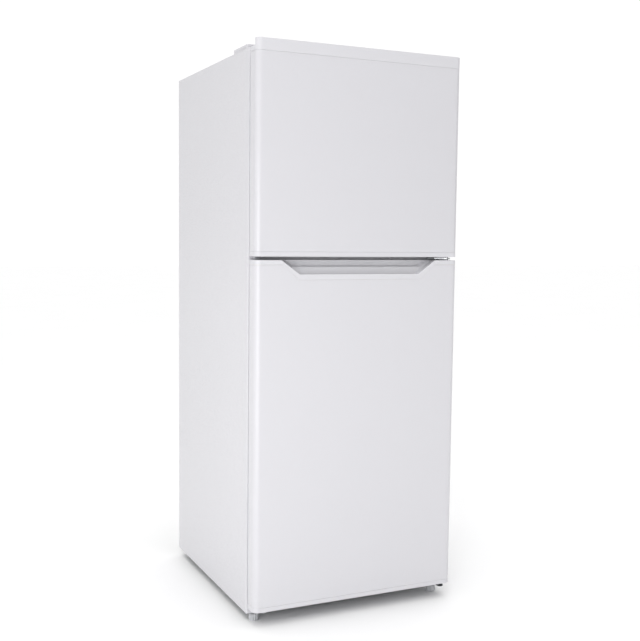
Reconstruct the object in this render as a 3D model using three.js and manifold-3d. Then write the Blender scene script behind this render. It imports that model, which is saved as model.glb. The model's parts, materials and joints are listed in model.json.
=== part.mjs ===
// Top freezer refrigerator, as the pieces that it comes apart into on a bench.
// Millimetres, +Z up, doors facing -Y, origin on the floor under the middle of the object.
// The doors are shown shut. Both hang on the right, on one vertical axis.
import * as THREE from 'three';
import { mergeVertices } from 'three/addons/utils/BufferGeometryUtils.js';
import Module from 'manifold-3d';

const wasm = await Module();
wasm.setup();

// ---- Driving dimensions ----
const WIDTH = 595;
const DEPTH = 665;
const HEIGHT = 1500;
const GAP = 0.3; // between pieces that touch
const SHEET = 1.2; // steel sheet
const LINER = 1.5; // vacuum-formed plastic
const PAST = 5; // how far a cutter runs past the face that it opens

const DOOR_THICKNESS = 44;
const DOOR_CORNER = 16; // radius of a door's front edges
const DOOR_CAP = 12; // height of the plastic caps at a door's ends
const SEAL_DEPTH = 10; // from a door's back to the cabinet's front
const FRIDGE_DOOR = { bottom: 41, top: 952 };
const FREEZER_DOOR = { bottom: 961, top: 1481.5 };

const CABINET_TOP = 1483;
const CABINET_BOTTOM = 23;
const SPACER_DEPTH = 8;
const SPACER = { x: [200, 235], z: [1370, 1430] };

// Worked out from the above
const HALF = WIDTH / 2;
const FRONT = -DEPTH / 2;
const BACK = DEPTH / 2 - SPACER_DEPTH;
const CABINET_FRONT = FRONT + DOOR_THICKNESS + SEAL_DEPTH;
const SIDE_INNER = HALF - SHEET;

// The hinge axis, and the pins on it
const HINGE = { x: 278, y: FRONT + 24 };
const PIN_RADIUS = 4;
const PIN_HOLE = 4.5;
const PIN_CLEARANCE = 5.5; // hole for a pin in the foam
const PIN_REACH = 14; // how far a pin goes into a door

// The two rooms: half width, floor, ceiling, and where the back wall is
const ROOM_HALF = 247;
const ROOM_BACK = 262;
const FRIDGE_ROOM = { floor: 75, ceiling: 925 };
const FREEZER_ROOM = { floor: 990, ceiling: 1433 };
const LINER_LIP = 8; // the liner's rim in front of the foam
const FLANGE = HALF - ROOM_HALF - LINER_LIP; // width of the steel frame round a room

// The step in the fridge room's back wall, over the machine space
const STEP = { face: 75, top: 300, rise: 380 };
const MACHINE = { front: 120, wall: 235, ceiling: 270, bend: 200 };

// The rim of each door liner that stands into its room, and the bins between its sides
const RIM = { outer: 238, inner: 215, depth: 48, clear: 9, width: 20 };
const BIN = { half: 213.5, wall: 2, end: 6, bottom: 2.5, depth: 98 };
const LUG = { reach: 3.5, width: 8, height: 29.7, up: 10, from: 16 };

// Sheet and glass shelves
const LEDGE = { width: 12, height: 8 };
const SHELF = { half: 243, front: -150, thick: 4 };
const FRIDGE_SHELVES = { upper: 640, lower: 430, back: 232 };
const CRISPER_COVER = { z: 272, front: -135, back: 72 };
const FREEZER_SHELF = { z: 1205, back: 205 };

// ---- Geometry helpers ----
const TOWARDS = {
  x: new THREE.Matrix4().makeBasis(
    new THREE.Vector3(0, 1, 0),
    new THREE.Vector3(0, 0, 1),
    new THREE.Vector3(1, 0, 0),
  ),
  y: new THREE.Matrix4().makeBasis(
    new THREE.Vector3(0, 0, 1),
    new THREE.Vector3(1, 0, 0),
    new THREE.Vector3(0, 1, 0),
  ),
  z: new THREE.Matrix4(),
};

/** A solid for cutting and joining, from a closed geometry. */
function solidOf(geometry) {
  const bare = geometry.clone();
  bare.deleteAttribute('normal');
  bare.deleteAttribute('uv');
  const merged = mergeVertices(bare, 1e-4);
  return new wasm.Manifold(new wasm.Mesh({
    numProp: 3,
    vertProperties: new Float32Array(merged.attributes.position.array),
    triVerts: new Uint32Array(merged.index.array),
  }));
}

/** A block between two corners. */
function block(low, high) {
  const size = high.map((value, i) => value - low[i]);
  const geometry = new THREE.BoxGeometry(...size);
  geometry.translate(...low.map((value, i) => value + size[i] / 2));
  return solidOf(geometry);
}

/** A block that is the same to the left and right of the middle. */
function middleBlock(half, [y0, y1], [z0, z1]) {
  return block([-half, y0, z0], [half, y1, z1]);
}

/** Blocks at +X and -X, mirror images of each other. */
function sideBlocks([x0, x1], [y0, y1], [z0, z1]) {
  const right = block([x0, y0, z0], [x1, y1, z1]);
  return right.add(block([-x1, y0, z0], [-x0, y1, z1]));
}

/** A box with thin walls, open at the top. */
function tray([x0, x1], [y0, y1], [z0, z1], wall, floor = wall) {
  const outer = block([x0, y0, z0], [x1, y1, z1]);
  const inner = block([x0 + wall, y0 + wall, z0 + floor], [x1 - wall, y1 - wall, z1 + PAST]);
  return outer.subtract(inner);
}

/** A box with thin walls, open underneath. */
function lid([x0, x1], [y0, y1], [z0, z1], wall) {
  const outer = block([x0, y0, z0], [x1, y1, z1]);
  const inner = block([x0 + wall, y0 + wall, z0 - PAST], [x1 - wall, y1 - wall, z1 - wall]);
  return outer.subtract(inner);
}

/** A prism along an axis. Its outline is in (y, z) along x, (z, x) along y, (x, y) along z. */
function prism(axis, outline, from, to) {
  const shape = Array.isArray(outline)
    ? new THREE.Shape(outline.map(([u, v]) => new THREE.Vector2(u, v)))
    : outline;
  const geometry = new THREE.ExtrudeGeometry(shape, {
    depth: to - from,
    bevelEnabled: false,
    curveSegments: 8,
  });
  geometry.translate(0, 0, from);
  geometry.applyMatrix4(TOWARDS[axis]);
  return solidOf(geometry);
}

/** A round bar along an axis, through the given centre, between two places on the axis. */
function bar(axis, centre, radius, from, to, sides = 24) {
  const shape = new THREE.Shape();
  shape.absarc(0, 0, radius, 0, 2 * Math.PI);
  const geometry = new THREE.ExtrudeGeometry(shape, {
    depth: to - from,
    bevelEnabled: false,
    curveSegments: sides / 2, // an arc takes two steps for each
  });
  geometry.translate(0, 0, from);
  geometry.applyMatrix4(TOWARDS[axis]);
  geometry.translate(...centre);
  return solidOf(geometry);
}

/** A body turned about a vertical axis, from (radius, height) points that close on the axis. */
function turned(points, centre) {
  const geometry = new THREE.LatheGeometry(
    points.map(([radius, height]) => new THREE.Vector2(radius, height)),
    32,
  );
  geometry.rotateX(Math.PI / 2);
  geometry.translate(...centre);
  return solidOf(geometry);
}

/** A row of values with an even pitch, about a middle. */
function row(count, pitch, middle = 0) {
  return Array.from({ length: count }, (_, i) => middle + (i - (count - 1) / 2) * pitch);
}

/** Cutters joined into one. */
function union(solids) {
  return solids.reduce((all, next) => all.add(next));
}

/** A named mesh from a solid. */
function piece(name, solid, material) {
  const { vertProperties, triVerts } = solid.getMesh();
  const geometry = new THREE.BufferGeometry();
  geometry.setAttribute('position', new THREE.BufferAttribute(vertProperties, 3));
  geometry.setIndex(new THREE.BufferAttribute(triVerts, 1));
  geometry.computeVertexNormals();
  const mesh = new THREE.Mesh(geometry, material());
  mesh.name = name;
  return mesh;
}

function finish(color, roughness, metalness = 0) {
  return () => new THREE.MeshStandardMaterial({ color, roughness, metalness });
}

const WHITE_STEEL = finish(0xe9e9ec, 0.35);
const WHITE_PLASTIC = finish(0xececee, 0.4);
const LINER_PLASTIC = finish(0xf1f2f3, 0.3);
const CLEAR_PLASTIC = finish(0xdfe9ee, 0.15);
const GLASS = finish(0xcfe3e0, 0.08);
const FOAM = finish(0xe8dcae, 0.9);
const SEAL = finish(0xb9bbc0, 0.6);
const GREY_PLASTIC = finish(0xc9cbcf, 0.5);
const DARK_STEEL = finish(0x3a3d42, 0.5, 0.6);
const PLATED_STEEL = finish(0xb4b8bd, 0.35, 0.9);
const BLACK_ENAMEL = finish(0x17181a, 0.35);
const BLACK_PLASTIC = finish(0x202124, 0.5);
const COPPER = finish(0xb8734a, 0.3, 1);
const ALUMINIUM = finish(0xc4c8cc, 0.4, 1);
const GALVANISED = finish(0xa9adb1, 0.45, 0.8);

// ---- Cabinet: panels, foam and liners ----
const FLANGE_INNER = HALF - FLANGE;
const FRAME_Y = [CABINET_FRONT, CABINET_FRONT + SHEET];
const FOAM_FRONT = CABINET_FRONT + SHEET + GAP;
const FOAM_BACK = BACK - SHEET - GAP;
const FOOT = { x: 273, y: FRONT + 64, radius: 13, height: 20, stem: 3.8, top: 44 };

/** A side of the cabinet, with the flange that its door seals on. side is 1 or -1. */
function sidePanel(side) {
  const outline = [
    [HALF, CABINET_FRONT],
    [HALF, BACK],
    [SIDE_INNER, BACK],
    [SIDE_INNER, CABINET_FRONT + SHEET],
    [FLANGE_INNER, CABINET_FRONT + SHEET],
    [FLANGE_INNER, CABINET_FRONT],
  ].map(([x, y]) => [side * x, y]);
  return prism('z', outline, CABINET_BOTTOM, CABINET_TOP);
}

/** A flange in the cabinet's front frame, and the tongue that joins it to its sheet. */
function foldedEdge(flangeZ, tongueZ) {
  const half = FLANGE_INNER - GAP;
  const flange = middleBlock(half, FRAME_Y, flangeZ);
  return flange.add(middleBlock(half, [CABINET_FRONT, FOAM_FRONT + GAP], tongueZ));
}

function topPanel() {
  const thickness = [CABINET_TOP - SHEET, CABINET_TOP];
  const sheet = middleBlock(SIDE_INNER - GAP, [FOAM_FRONT, BACK], thickness);
  return sheet.add(foldedEdge([FREEZER_ROOM.ceiling + LINER_LIP, CABINET_TOP], thickness));
}

function rearPanel() {
  return middleBlock(
    SIDE_INNER - GAP,
    [BACK - SHEET, BACK],
    [MACHINE.ceiling + 2 * SHEET, CABINET_TOP - SHEET - GAP],
  );
}

/** One bent sheet: the front flange, the floor, and the machine space's wall and roof. */
function bottomPanel() {
  const top = [
    [FOAM_FRONT, CABINET_BOTTOM],
    [MACHINE.front, CABINET_BOTTOM],
    [MACHINE.front, MACHINE.wall],
    [MACHINE.bend, MACHINE.ceiling],
    [BACK, MACHINE.ceiling],
  ];
  const under = top.map(([y, z], i) => {
    const isWall = i === 1 || i === 2;
    return [y - (isWall ? SHEET : 0), z + SHEET];
  });
  const sheet = prism('x', [...top, ...under.reverse()], -SIDE_INNER + GAP, SIDE_INNER - GAP);
  const flange = foldedEdge(
    [CABINET_BOTTOM, FRIDGE_ROOM.floor - LINER_LIP],
    [CABINET_BOTTOM, CABINET_BOTTOM + SHEET],
  );
  const stemHoles = [-1, 1].map((side) => bar(
    'z',
    [side * FOOT.x, FOOT.y, 0],
    FOOT.stem + 2 * GAP,
    CABINET_BOTTOM - PAST,
    CABINET_BOTTOM + PAST,
  ));
  return sheet.add(flange).subtract(union(stemHoles));
}

function mullionRail() {
  return middleBlock(
    FLANGE_INNER - GAP,
    FRAME_Y,
    [FRIDGE_ROOM.ceiling + LINER_LIP, FREEZER_ROOM.floor - LINER_LIP],
  );
}

/** The fridge room from the side, as (y, z), grown by a margin. */
function fridgeRoomOutline(margin, front) {
  const { floor, ceiling } = FRIDGE_ROOM;
  return [
    [front, floor - margin],
    [STEP.face + margin, floor - margin],
    [STEP.face + margin, STEP.top - margin / 2],
    [ROOM_BACK + margin, STEP.rise - margin],
    [ROOM_BACK + margin, ceiling + margin],
    [front, ceiling + margin],
  ];
}

/** The freezer room from the side, as (y, z), grown by a margin. */
function freezerRoomOutline(margin, front) {
  const { floor, ceiling } = FREEZER_ROOM;
  return [
    [front, floor - margin],
    [ROOM_BACK + margin, floor - margin],
    [ROOM_BACK + margin, ceiling + margin],
    [front, ceiling + margin],
  ];
}

function room(outline, margin, front) {
  const half = ROOM_HALF + margin;
  return prism('x', outline(margin, front), -half, half);
}

function cabinetFoam() {
  const half = SIDE_INNER - GAP;
  const top = CABINET_TOP - SHEET - GAP;
  const bottom = CABINET_BOTTOM + SHEET + GAP;
  const machineTop = MACHINE.ceiling + SHEET + GAP;
  const wall = MACHINE.front - SHEET - GAP;
  const outline = [
    [FOAM_FRONT, bottom],
    [wall, bottom],
    [wall, MACHINE.wall + SHEET + GAP],
    [MACHINE.bend - GAP, machineTop],
    [FOAM_BACK, machineTop],
    [FOAM_BACK, top],
    [FOAM_FRONT, top],
  ];
  const stems = [-1, 1].map((side) => bar(
    'z',
    [side * FOOT.x, FOOT.y, 0],
    FOOT.stem + 2,
    CABINET_BOTTOM,
    FOOT.top + 2,
  ));
  return prism('x', outline, -half, half)
    .subtract(room(fridgeRoomOutline, GAP, CABINET_FRONT - PAST))
    .subtract(room(freezerRoomOutline, GAP, CABINET_FRONT - PAST))
    .subtract(union(stems));
}

/** A ledge on each side wall, for a shelf whose underside is at z. */
function ledges(z, front, back) {
  return sideBlocks(
    [ROOM_HALF - LINER - LEDGE.width, ROOM_HALF - LINER / 2],
    [front, back],
    [z - GAP - LEDGE.height, z - GAP],
  );
}

/** A room's liner: a thin shell, its rim in front of the foam, and the shelf ledges. */
function roomLiner(outline, { floor, ceiling }, shelfLedges) {
  const rim = middleBlock(
    ROOM_HALF + LINER_LIP - GAP,
    FRAME_Y,
    [floor - LINER_LIP + GAP, ceiling + LINER_LIP - GAP],
  );
  return room(outline, 0, CABINET_FRONT)
    .add(rim)
    .subtract(room(outline, -LINER, CABINET_FRONT - PAST))
    .add(union(shelfLedges));
}

function freezerLiner() {
  const shelf = ledges(FREEZER_SHELF.z, SHELF.front, FREEZER_SHELF.back);
  return roomLiner(freezerRoomOutline, FREEZER_ROOM, [shelf]);
}

function fridgeLiner() {
  const { upper, lower, back } = FRIDGE_SHELVES;
  return roomLiner(fridgeRoomOutline, FRIDGE_ROOM, [
    ledges(upper, SHELF.front, back),
    ledges(lower, SHELF.front, back),
    ledges(CRISPER_COVER.z, CRISPER_COVER.front, CRISPER_COVER.back),
  ]);
}

function rearSpacer(side) {
  const x = SPACER.x.map((value) => side * value).sort((a, b) => a - b);
  return block([x[0], BACK + GAP, SPACER.z[0]], [x[1], DEPTH / 2, SPACER.z[1]]);
}

// ---- Machine space ----
const PAN = { half: 292, bottom: 25, top: 27, front: MACHINE.front + 1, back: BACK - 2 };
const ROLLER = { radius: 11, width: 18, x: 262, y: 290, bore: 3.3, axle: 3 };
const CHEEK = { thick: 2, play: 0.5, half: 10, drop: 6 };
const TAB = { half: 22, above: 22, y: [BACK - 6, BACK - 4] };
const GLAND = { x: 210, z: 56, hole: 8, collar: 12, bore: 4, inside: 6, outside: 3 };
const COMPRESSOR = { x: -120, y: 222, radius: 78, bottom: 36, seam: 111, top: 190 };
const COMPRESSOR_FOOT = { x: 105, y: 60, z: [32, 37] };
const TERMINALS = { clear: 5, depth: 34, half: 24, z: [56, 128] };
const DRIP_TRAY = { x: [-205, -35], y: [150, 300], z: [196, 228], wall: 2 };
const PIPE_RADIUS = 3.2;

/** The two cheeks that hold a roller, and its axle. */
function rollerHanger(side) {
  const middle = side * ROLLER.x;
  const reach = ROLLER.width / 2 + CHEEK.play + CHEEK.thick;
  const cheeks = [middle - reach, middle + reach - CHEEK.thick].map((x) => block(
    [x, ROLLER.y - CHEEK.half, ROLLER.radius - CHEEK.drop],
    [x + CHEEK.thick, ROLLER.y + CHEEK.half, PAN.top],
  ));
  const end = reach - CHEEK.thick / 2;
  const axle = bar('x', [0, ROLLER.y, ROLLER.radius], ROLLER.axle, middle - end, middle + end);
  return union([...cheeks, axle]);
}

/** The pan, with an upright tab for the cord's gland and hangers for the rollers. */
function basePan() {
  const plate = middleBlock(PAN.half, [PAN.front, PAN.back], [PAN.bottom, PAN.top]);
  const tab = block(
    [GLAND.x - TAB.half, TAB.y[0], PAN.bottom],
    [GLAND.x + TAB.half, TAB.y[1], GLAND.z + TAB.above],
  );
  const hole = bar('y', [GLAND.x, 0, GLAND.z], GLAND.hole, TAB.y[0] - PAST, BACK);
  return union([plate, tab, rollerHanger(1), rollerHanger(-1)]).subtract(hole);
}

function rearRoller(side) {
  const middle = side * ROLLER.x;
  const ends = [middle - ROLLER.width / 2, middle + ROLLER.width / 2];
  const centre = [0, ROLLER.y, ROLLER.radius];
  return bar('x', centre, ROLLER.radius, ...ends)
    .subtract(bar('x', centre, ROLLER.bore, ends[0] - PAST, ends[1] + PAST));
}

/** The gland for a power cord: a bush in the pan's tab, with a collar on each side of it. */
function cordGland() {
  const centre = [GLAND.x, 0, GLAND.z];
  const [front, back] = TAB.y;
  const inside = front - GLAND.inside;
  const outside = back + GLAND.outside;
  const neck = bar('y', centre, GLAND.hole - GAP, inside + 1, outside - 1);
  const collars = [
    bar('y', centre, GLAND.collar, inside, front - GAP),
    bar('y', centre, GLAND.collar, back + GAP, outside),
  ];
  return union([neck, ...collars])
    .subtract(bar('y', centre, GLAND.bore, inside - PAST, outside + PAST));
}

/** A welded shell on a foot plate: a dished bottom, a raised seam and a domed top. */
function compressor() {
  const { x, y, radius, bottom, seam, top } = COMPRESSOR;
  const dish = [[0, bottom], [radius - 20, bottom], [radius - 4, bottom + 12], [radius, bottom + 30]];
  const weld = [[radius, seam - 5], [radius + 3, seam - 3], [radius + 3, seam + 3], [radius, seam + 5]];
  const dome = [[radius - 2, top - 44], [radius - 14, top - 18], [radius - 40, top - 4], [0, top]];
  const foot = COMPRESSOR_FOOT;
  const plate = block([x - foot.x, y - foot.y, foot.z[0]], [x + foot.x, y + foot.y, foot.z[1]]);
  return turned([...dish, ...weld, ...dome], [x, y, 0]).add(plate);
}

function terminalCover() {
  const x = COMPRESSOR.x + COMPRESSOR.radius + TERMINALS.clear;
  return block(
    [x, COMPRESSOR.y - TERMINALS.half, TERMINALS.z[0]],
    [x + TERMINALS.depth, COMPRESSOR.y + TERMINALS.half, TERMINALS.z[1]],
  );
}

function dripTray() {
  const { x, y, z, wall } = DRIP_TRAY;
  return tray(x, y, z, wall);
}

/** The pipe from the compressor to the condenser behind the right side panel. */
function dischargePipe() {
  const start = COMPRESSOR.x + COMPRESSOR.radius + 2;
  const points = [
    [start, COMPRESSOR.y, 142], [start + 30, 226, 146], [60, 236, 150], [170, 236, 150],
    [250, 240, 152], [278, 244, 176], [280, 246, 236],
  ];
  const path = new THREE.CatmullRomCurve3(points.map((p) => new THREE.Vector3(...p)));
  const section = new THREE.Shape();
  section.absarc(0, 0, PIPE_RADIUS, 0, 2 * Math.PI);
  return solidOf(new THREE.ExtrudeGeometry(section, {
    steps: 32,
    curveSegments: 4,
    bevelEnabled: false,
    extrudePath: path,
  }));
}

// ---- Cold parts behind the freezer's rear cover ----
const COLD = { cover: [212, 215], half: ROOM_HALF - LINER - 1, back: 256 };
const OUTLET = { radius: 52, slots: 7, pitch: 13, slot: 8 };
const RETURNS = { count: 12, pitch: 36, half: 13, up: [10, 18] };
const COIL = { half: 205, front: 220, core: 246, fins: 30, pitch: 13.6, fin: 1.2, up: [22, 228] };
const FAN = { z: 1345, radius: 48, front: 221, back: 236, hub: 16, blades: 5, chord: 26, pitch: 62 };
const MOTOR = { radius: 24, front: FAN.back + 6, arm: 70, shaft: 2.5 };
const FREEZER_INNER = {
  floor: FREEZER_ROOM.floor + LINER + 1,
  ceiling: FREEZER_ROOM.ceiling - LINER - 1,
};

/** The cover, with a slotted fan outlet and a row of return slots at the bottom. */
function evaporatorCover() {
  const cover = middleBlock(COLD.half, COLD.cover, [FREEZER_INNER.floor, FREEZER_INNER.ceiling]);
  const depth = [COLD.cover[0] - PAST, COLD.cover[1] + PAST];
  const outlet = row(OUTLET.slots, OUTLET.pitch).map((up) => middleBlock(
    Math.sqrt(OUTLET.radius ** 2 - up ** 2),
    depth,
    [FAN.z + up - OUTLET.slot / 2, FAN.z + up + OUTLET.slot / 2],
  ));
  const returns = row(RETURNS.count, RETURNS.pitch).map((x) => block(
    [x - RETURNS.half, depth[0], FREEZER_INNER.floor + RETURNS.up[0]],
    [x + RETURNS.half, depth[1], FREEZER_INNER.floor + RETURNS.up[1]],
  ));
  return cover.subtract(union([...outlet, ...returns]));
}

/** A slab with fins on its face, as the coil block of a frost-free freezer. */
function evaporator() {
  const z = COIL.up.map((up) => FREEZER_INNER.floor + up);
  const core = middleBlock(COIL.half, [COIL.core, COLD.back], z);
  const fins = row(COIL.fins, COIL.pitch).map((x) => block(
    [x - COIL.fin / 2, COIL.front, z[0]],
    [x + COIL.fin / 2, COIL.core + 2, z[1]],
  ));
  return union([core, ...fins]);
}

/** The motor's can, the two arms that it hangs on, and its shaft. */
function fanMotor() {
  const centre = [0, 0, FAN.z];
  const can = bar('y', centre, MOTOR.radius, MOTOR.front, COLD.back);
  const arms = middleBlock(MOTOR.arm, [MOTOR.front + 2, MOTOR.front + 6], [FAN.z - 7, FAN.z + 7]);
  const shaft = bar('y', centre, MOTOR.shaft, FAN.back - 8, MOTOR.front + 2, 16);
  return union([can, arms, shaft]);
}

/** A hub and pitched blades, with a blind hole for the motor's shaft. */
function fanBlade() {
  const hub = bar('y', [0, 0, 0], FAN.hub, FAN.front, FAN.back);
  const blade = new THREE.BoxGeometry(FAN.radius - FAN.hub + 6, 1.6, FAN.chord);
  blade.rotateX(THREE.MathUtils.degToRad(FAN.pitch));
  blade.translate((FAN.radius + FAN.hub) / 2 - 2, (FAN.front + FAN.back) / 2, 0);
  const blades = row(FAN.blades, 360 / FAN.blades).map((degrees) => {
    const placed = blade.clone();
    placed.rotateY(THREE.MathUtils.degToRad(degrees));
    return solidOf(placed);
  });
  const shaftHole = bar('y', [0, 0, 0], MOTOR.shaft + 0.5, FAN.back - 9, FAN.back + PAST, 16);
  return union([hub, ...blades]).subtract(shaftHole).translate([0, 0, FAN.z]);
}

// ---- Inside the fridge room ----
const HOUSING = { half: 200, front: -210, back: -60, bottom: 870, wall: 2 };
const HOUSING_TOP = FRIDGE_ROOM.ceiling - LINER - 1;
const KNOB = { x: 110, z: 893, radius: 16, depth: 13, skirt: 5, ridge: 3.5, shaft: 4 };
const LAMP = { x: [-150, 10], y: [-190, -90], depth: 10, wall: 2, seat: 8 };
const SWITCH = { x: -170, z: 907, radius: 4, travel: 5, stem: 30, collar: 3 };
const CRISPER = { half: 228, front: -133, back: 62, bottom: 77, top: 258, wall: 2.5 };
const DUCT = { half: 60, front: 236, wall: 3, z: [450, 850], slots: [510, 560, 740, 790] };
const SHAFT_PLAY = 0.5;

/** The box under the fridge's ceiling, with holes for the knob, the switch and the lamp. */
function controlHousing() {
  const { half, front, back, bottom, wall } = HOUSING;
  const through = [front - PAST, front + PAST];
  const knobHole = bar('y', [KNOB.x, 0, KNOB.z], KNOB.shaft + SHAFT_PLAY, ...through);
  const switchHole = bar('y', [SWITCH.x, 0, SWITCH.z], SWITCH.radius + SHAFT_PLAY, ...through);
  const lampWindow = block(
    [LAMP.x[0] + LAMP.seat, LAMP.y[0] + LAMP.seat, bottom - PAST],
    [LAMP.x[1] - LAMP.seat, LAMP.y[1] - LAMP.seat, bottom + PAST],
  );
  return tray([-half, half], [front, back], [bottom, HOUSING_TOP], wall)
    .subtract(union([knobHole, switchHole, lampWindow]));
}

/** A round knob with a pointer ridge, and the shaft that goes into the housing. */
function thermostatKnob() {
  const back = HOUSING.front - GAP;
  const skirt = bar('y', [0, 0, 0], KNOB.radius, back - KNOB.skirt, back, 32);
  const ridge = block(
    [-KNOB.ridge, back - KNOB.depth, -KNOB.radius + 2],
    [KNOB.ridge, back - KNOB.skirt + 2, KNOB.radius - 2],
  );
  const shaft = bar('y', [0, 0, 0], KNOB.shaft, back - 2, HOUSING.front + 14);
  return union([skirt, ridge, shaft]).translate([KNOB.x, 0, KNOB.z]);
}

function lampCover() {
  return tray(LAMP.x, LAMP.y, [HOUSING.bottom - LAMP.depth, HOUSING.bottom - GAP], LAMP.wall);
}

/** The plunger that the shut door holds in, with a collar that stops it inside the housing. */
function lightSwitchPlunger() {
  const tip = FRONT + DOOR_THICKNESS + RIM.depth + GAP;
  const centre = [SWITCH.x, 0, SWITCH.z];
  const stem = bar('y', centre, SWITCH.radius, tip, HOUSING.front + SWITCH.stem);
  const stop = HOUSING.front + HOUSING.wall + SWITCH.travel + GAP;
  return stem.add(bar('y', centre, SWITCH.radius + SWITCH.collar, stop, stop + SWITCH.collar));
}

/** The air duct on the back wall: a channel open at the back, with slots at the front. */
function airDuct() {
  const { half, front, wall, z } = DUCT;
  const outer = middleBlock(half, [front, ROOM_BACK - LINER - 1], z);
  const inner = middleBlock(
    half - wall,
    [front + wall, ROOM_BACK + PAST],
    [z[0] + wall, z[1] - wall],
  );
  const slots = DUCT.slots.map((up) => middleBlock(
    half - 20,
    [front - PAST, front + PAST],
    [up, up + 8],
  ));
  return outer.subtract(union([inner, ...slots]));
}

function shelf(z, front, back) {
  return middleBlock(SHELF.half, [front, back], [z, z + SHELF.thick]);
}

/** The vegetable drawer: an open box with a grip lip along its front. */
function crisperDrawer() {
  const { half, front, back, bottom, top, wall } = CRISPER;
  const box = tray([-half, half], [front, back], [bottom, top], wall);
  const lip = middleBlock(half - 40, [front - 10, front + 1], [top - 22, top - 18]);
  const lipEdge = middleBlock(half - 40, [front - 12, front - 9], [top - 30, top - 18]);
  return union([box, lip, lipEdge]);
}

// ---- Hinges ----
const TOP_PLATE = { z: CABINET_TOP + GAP, thick: 3, eye: 7.5 };
const TOP_COVER = { eye: 10, height: 14.5, wall: 1.8, x: [212, 262], y: [-262, -192] };
const HOLE_COVER = { x: [-291, -243], y: [-247, -147] };
const TOP_ARM_END = [TOP_COVER.x[1] - 18, TOP_COVER.y[0] + 14];
const MIDDLE = { arm: [955, 958.5], plate: [949, 965], x: [228, 268] };
const BOTTOM = { arm: [27.5, 31.5], plate: [25, 39], x: [252, 289] };
const BRACKET_Y = [CABINET_FRONT - GAP - 2.7, CABINET_FRONT - GAP];

/** A bar of a given half width from the hinge axis to a point, with a round end on the axis. */
function armTo([x, y], half, from, to) {
  const angle = Math.atan2(y - HINGE.y, x - HINGE.x);
  const length = Math.hypot(x - HINGE.x, y - HINGE.y);
  const shape = new THREE.Shape();
  shape.moveTo(length, half);
  shape.lineTo(0, half);
  shape.absarc(0, 0, half, Math.PI / 2, 1.5 * Math.PI);
  shape.lineTo(length, -half);
  shape.closePath();
  const geometry = new THREE.ExtrudeGeometry(shape, {
    depth: to - from,
    bevelEnabled: false,
    curveSegments: 10,
  });
  geometry.rotateZ(angle);
  geometry.translate(HINGE.x, HINGE.y, from);
  return solidOf(geometry);
}

function pin(from, to) {
  return bar('z', [HINGE.x, HINGE.y, 0], PIN_RADIUS, from, to);
}

/** The flat plate on the cabinet's top, whose arm runs back clear of the door's raised edge. */
function topHingePlate() {
  const z = [TOP_PLATE.z, TOP_PLATE.z + TOP_PLATE.thick];
  const { x, y } = TOP_COVER;
  const base = block([x[0] + 5, y[0] + 5, z[0]], [x[1] - 5, y[1] - 5, z[1]]);
  const arm = armTo(TOP_ARM_END, TOP_PLATE.eye, ...z);
  const hole = bar('z', [HINGE.x, HINGE.y, 0], PIN_RADIUS + GAP, z[0] - PAST, z[1] + PAST);
  return base.add(arm).subtract(hole);
}

function topHingeCover() {
  const { x, y, eye, height, wall } = TOP_COVER;
  const z = [TOP_PLATE.z, TOP_PLATE.z + height];
  const hollow = armTo(TOP_ARM_END, eye - wall, z[0] - PAST, z[1] - wall);
  return lid(x, y, z, wall)
    .add(armTo(TOP_ARM_END, eye, ...z))
    .subtract(hollow)
    .subtract(block([x[0] + wall, y[0] + wall, z[0] - PAST], [x[1] - wall, y[1] - wall, z[1] - wall]));
}

/** The cover over the unused hinge holes at the left of the cabinet's top. */
function hingeHoleCover() {
  const z = [TOP_PLATE.z, TOP_PLATE.z + TOP_COVER.height];
  return lid(HOLE_COVER.x, HOLE_COVER.y, z, TOP_COVER.wall);
}

/** A bracket screwed to the frame, whose arm stands forward to the hinge axis. */
function bracket({ arm, plate, x }) {
  const upright = block([x[0], BRACKET_Y[0], plate[0]], [x[1], BRACKET_Y[1], plate[1]]);
  const foot = block([x[0], BRACKET_Y[0] - 10, arm[0]], [x[1], BRACKET_Y[1], arm[1]]);
  const reach = armTo([(x[0] + x[1]) / 2 + 6, BRACKET_Y[0] - 4], 9, ...arm);
  const hole = bar('z', [HINGE.x, HINGE.y, 0], PIN_RADIUS + GAP, arm[0] - PAST, arm[1] + PAST);
  return union([upright, foot, reach]).subtract(hole);
}

/** A levelling foot: a ribbed knob on a threaded stem. */
function frontFoot(side) {
  const ribs = 18;
  const outline = Array.from({ length: 2 * ribs }, (_, i) => {
    const angle = (i * Math.PI) / ribs;
    const radius = FOOT.radius - (i % 2);
    return [radius * Math.cos(angle), radius * Math.sin(angle)];
  });
  const knob = prism('z', outline, 0, FOOT.height);
  const stem = bar('z', [0, 0, 0], FOOT.stem, FOOT.height - 1, FOOT.top);
  return knob.add(stem).translate([side * FOOT.x, FOOT.y, 0]);
}

// ---- Doors ----
// A door's pieces are in the door's own frame: x across, y back from its front, z up from
// its lower edge. The door's group puts them in place.
const SKIN_IN = 0.5; // the steel skin is this far inside the caps' outline
const LINER_HALF = 284.7;
const LINER_Y = [DOOR_THICKNESS - LINER, DOOR_THICKNESS];
const SEAL_RING = { outer: 276, inner: 257, sides: 18 };
const SCOOP = { top: 235, bottom: 178, drop: 50.5, depth: 33, edge: 38, back: 28 };
const SCOOP_INNER = { top: 214, bottom: 179 };
const POCKET = { half: 240, y: [5, 36], height: 36, wall: 3 };
const LIP = { depth: 13, height: HEIGHT - FREEZER_DOOR.top };

/** A door from above, with rounded front edges. */
function doorOutline(inset, back) {
  const side = HALF - inset;
  const turn = HALF - DOOR_CORNER;
  const radius = DOOR_CORNER - inset;
  const shape = new THREE.Shape();
  shape.moveTo(side, back);
  shape.lineTo(-side, back);
  shape.lineTo(-side, DOOR_CORNER);
  shape.absarc(-turn, DOOR_CORNER, radius, Math.PI, 1.5 * Math.PI);
  shape.absarc(turn, DOOR_CORNER, radius, 1.5 * Math.PI, 2 * Math.PI);
  shape.closePath();
  return shape;
}

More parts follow.
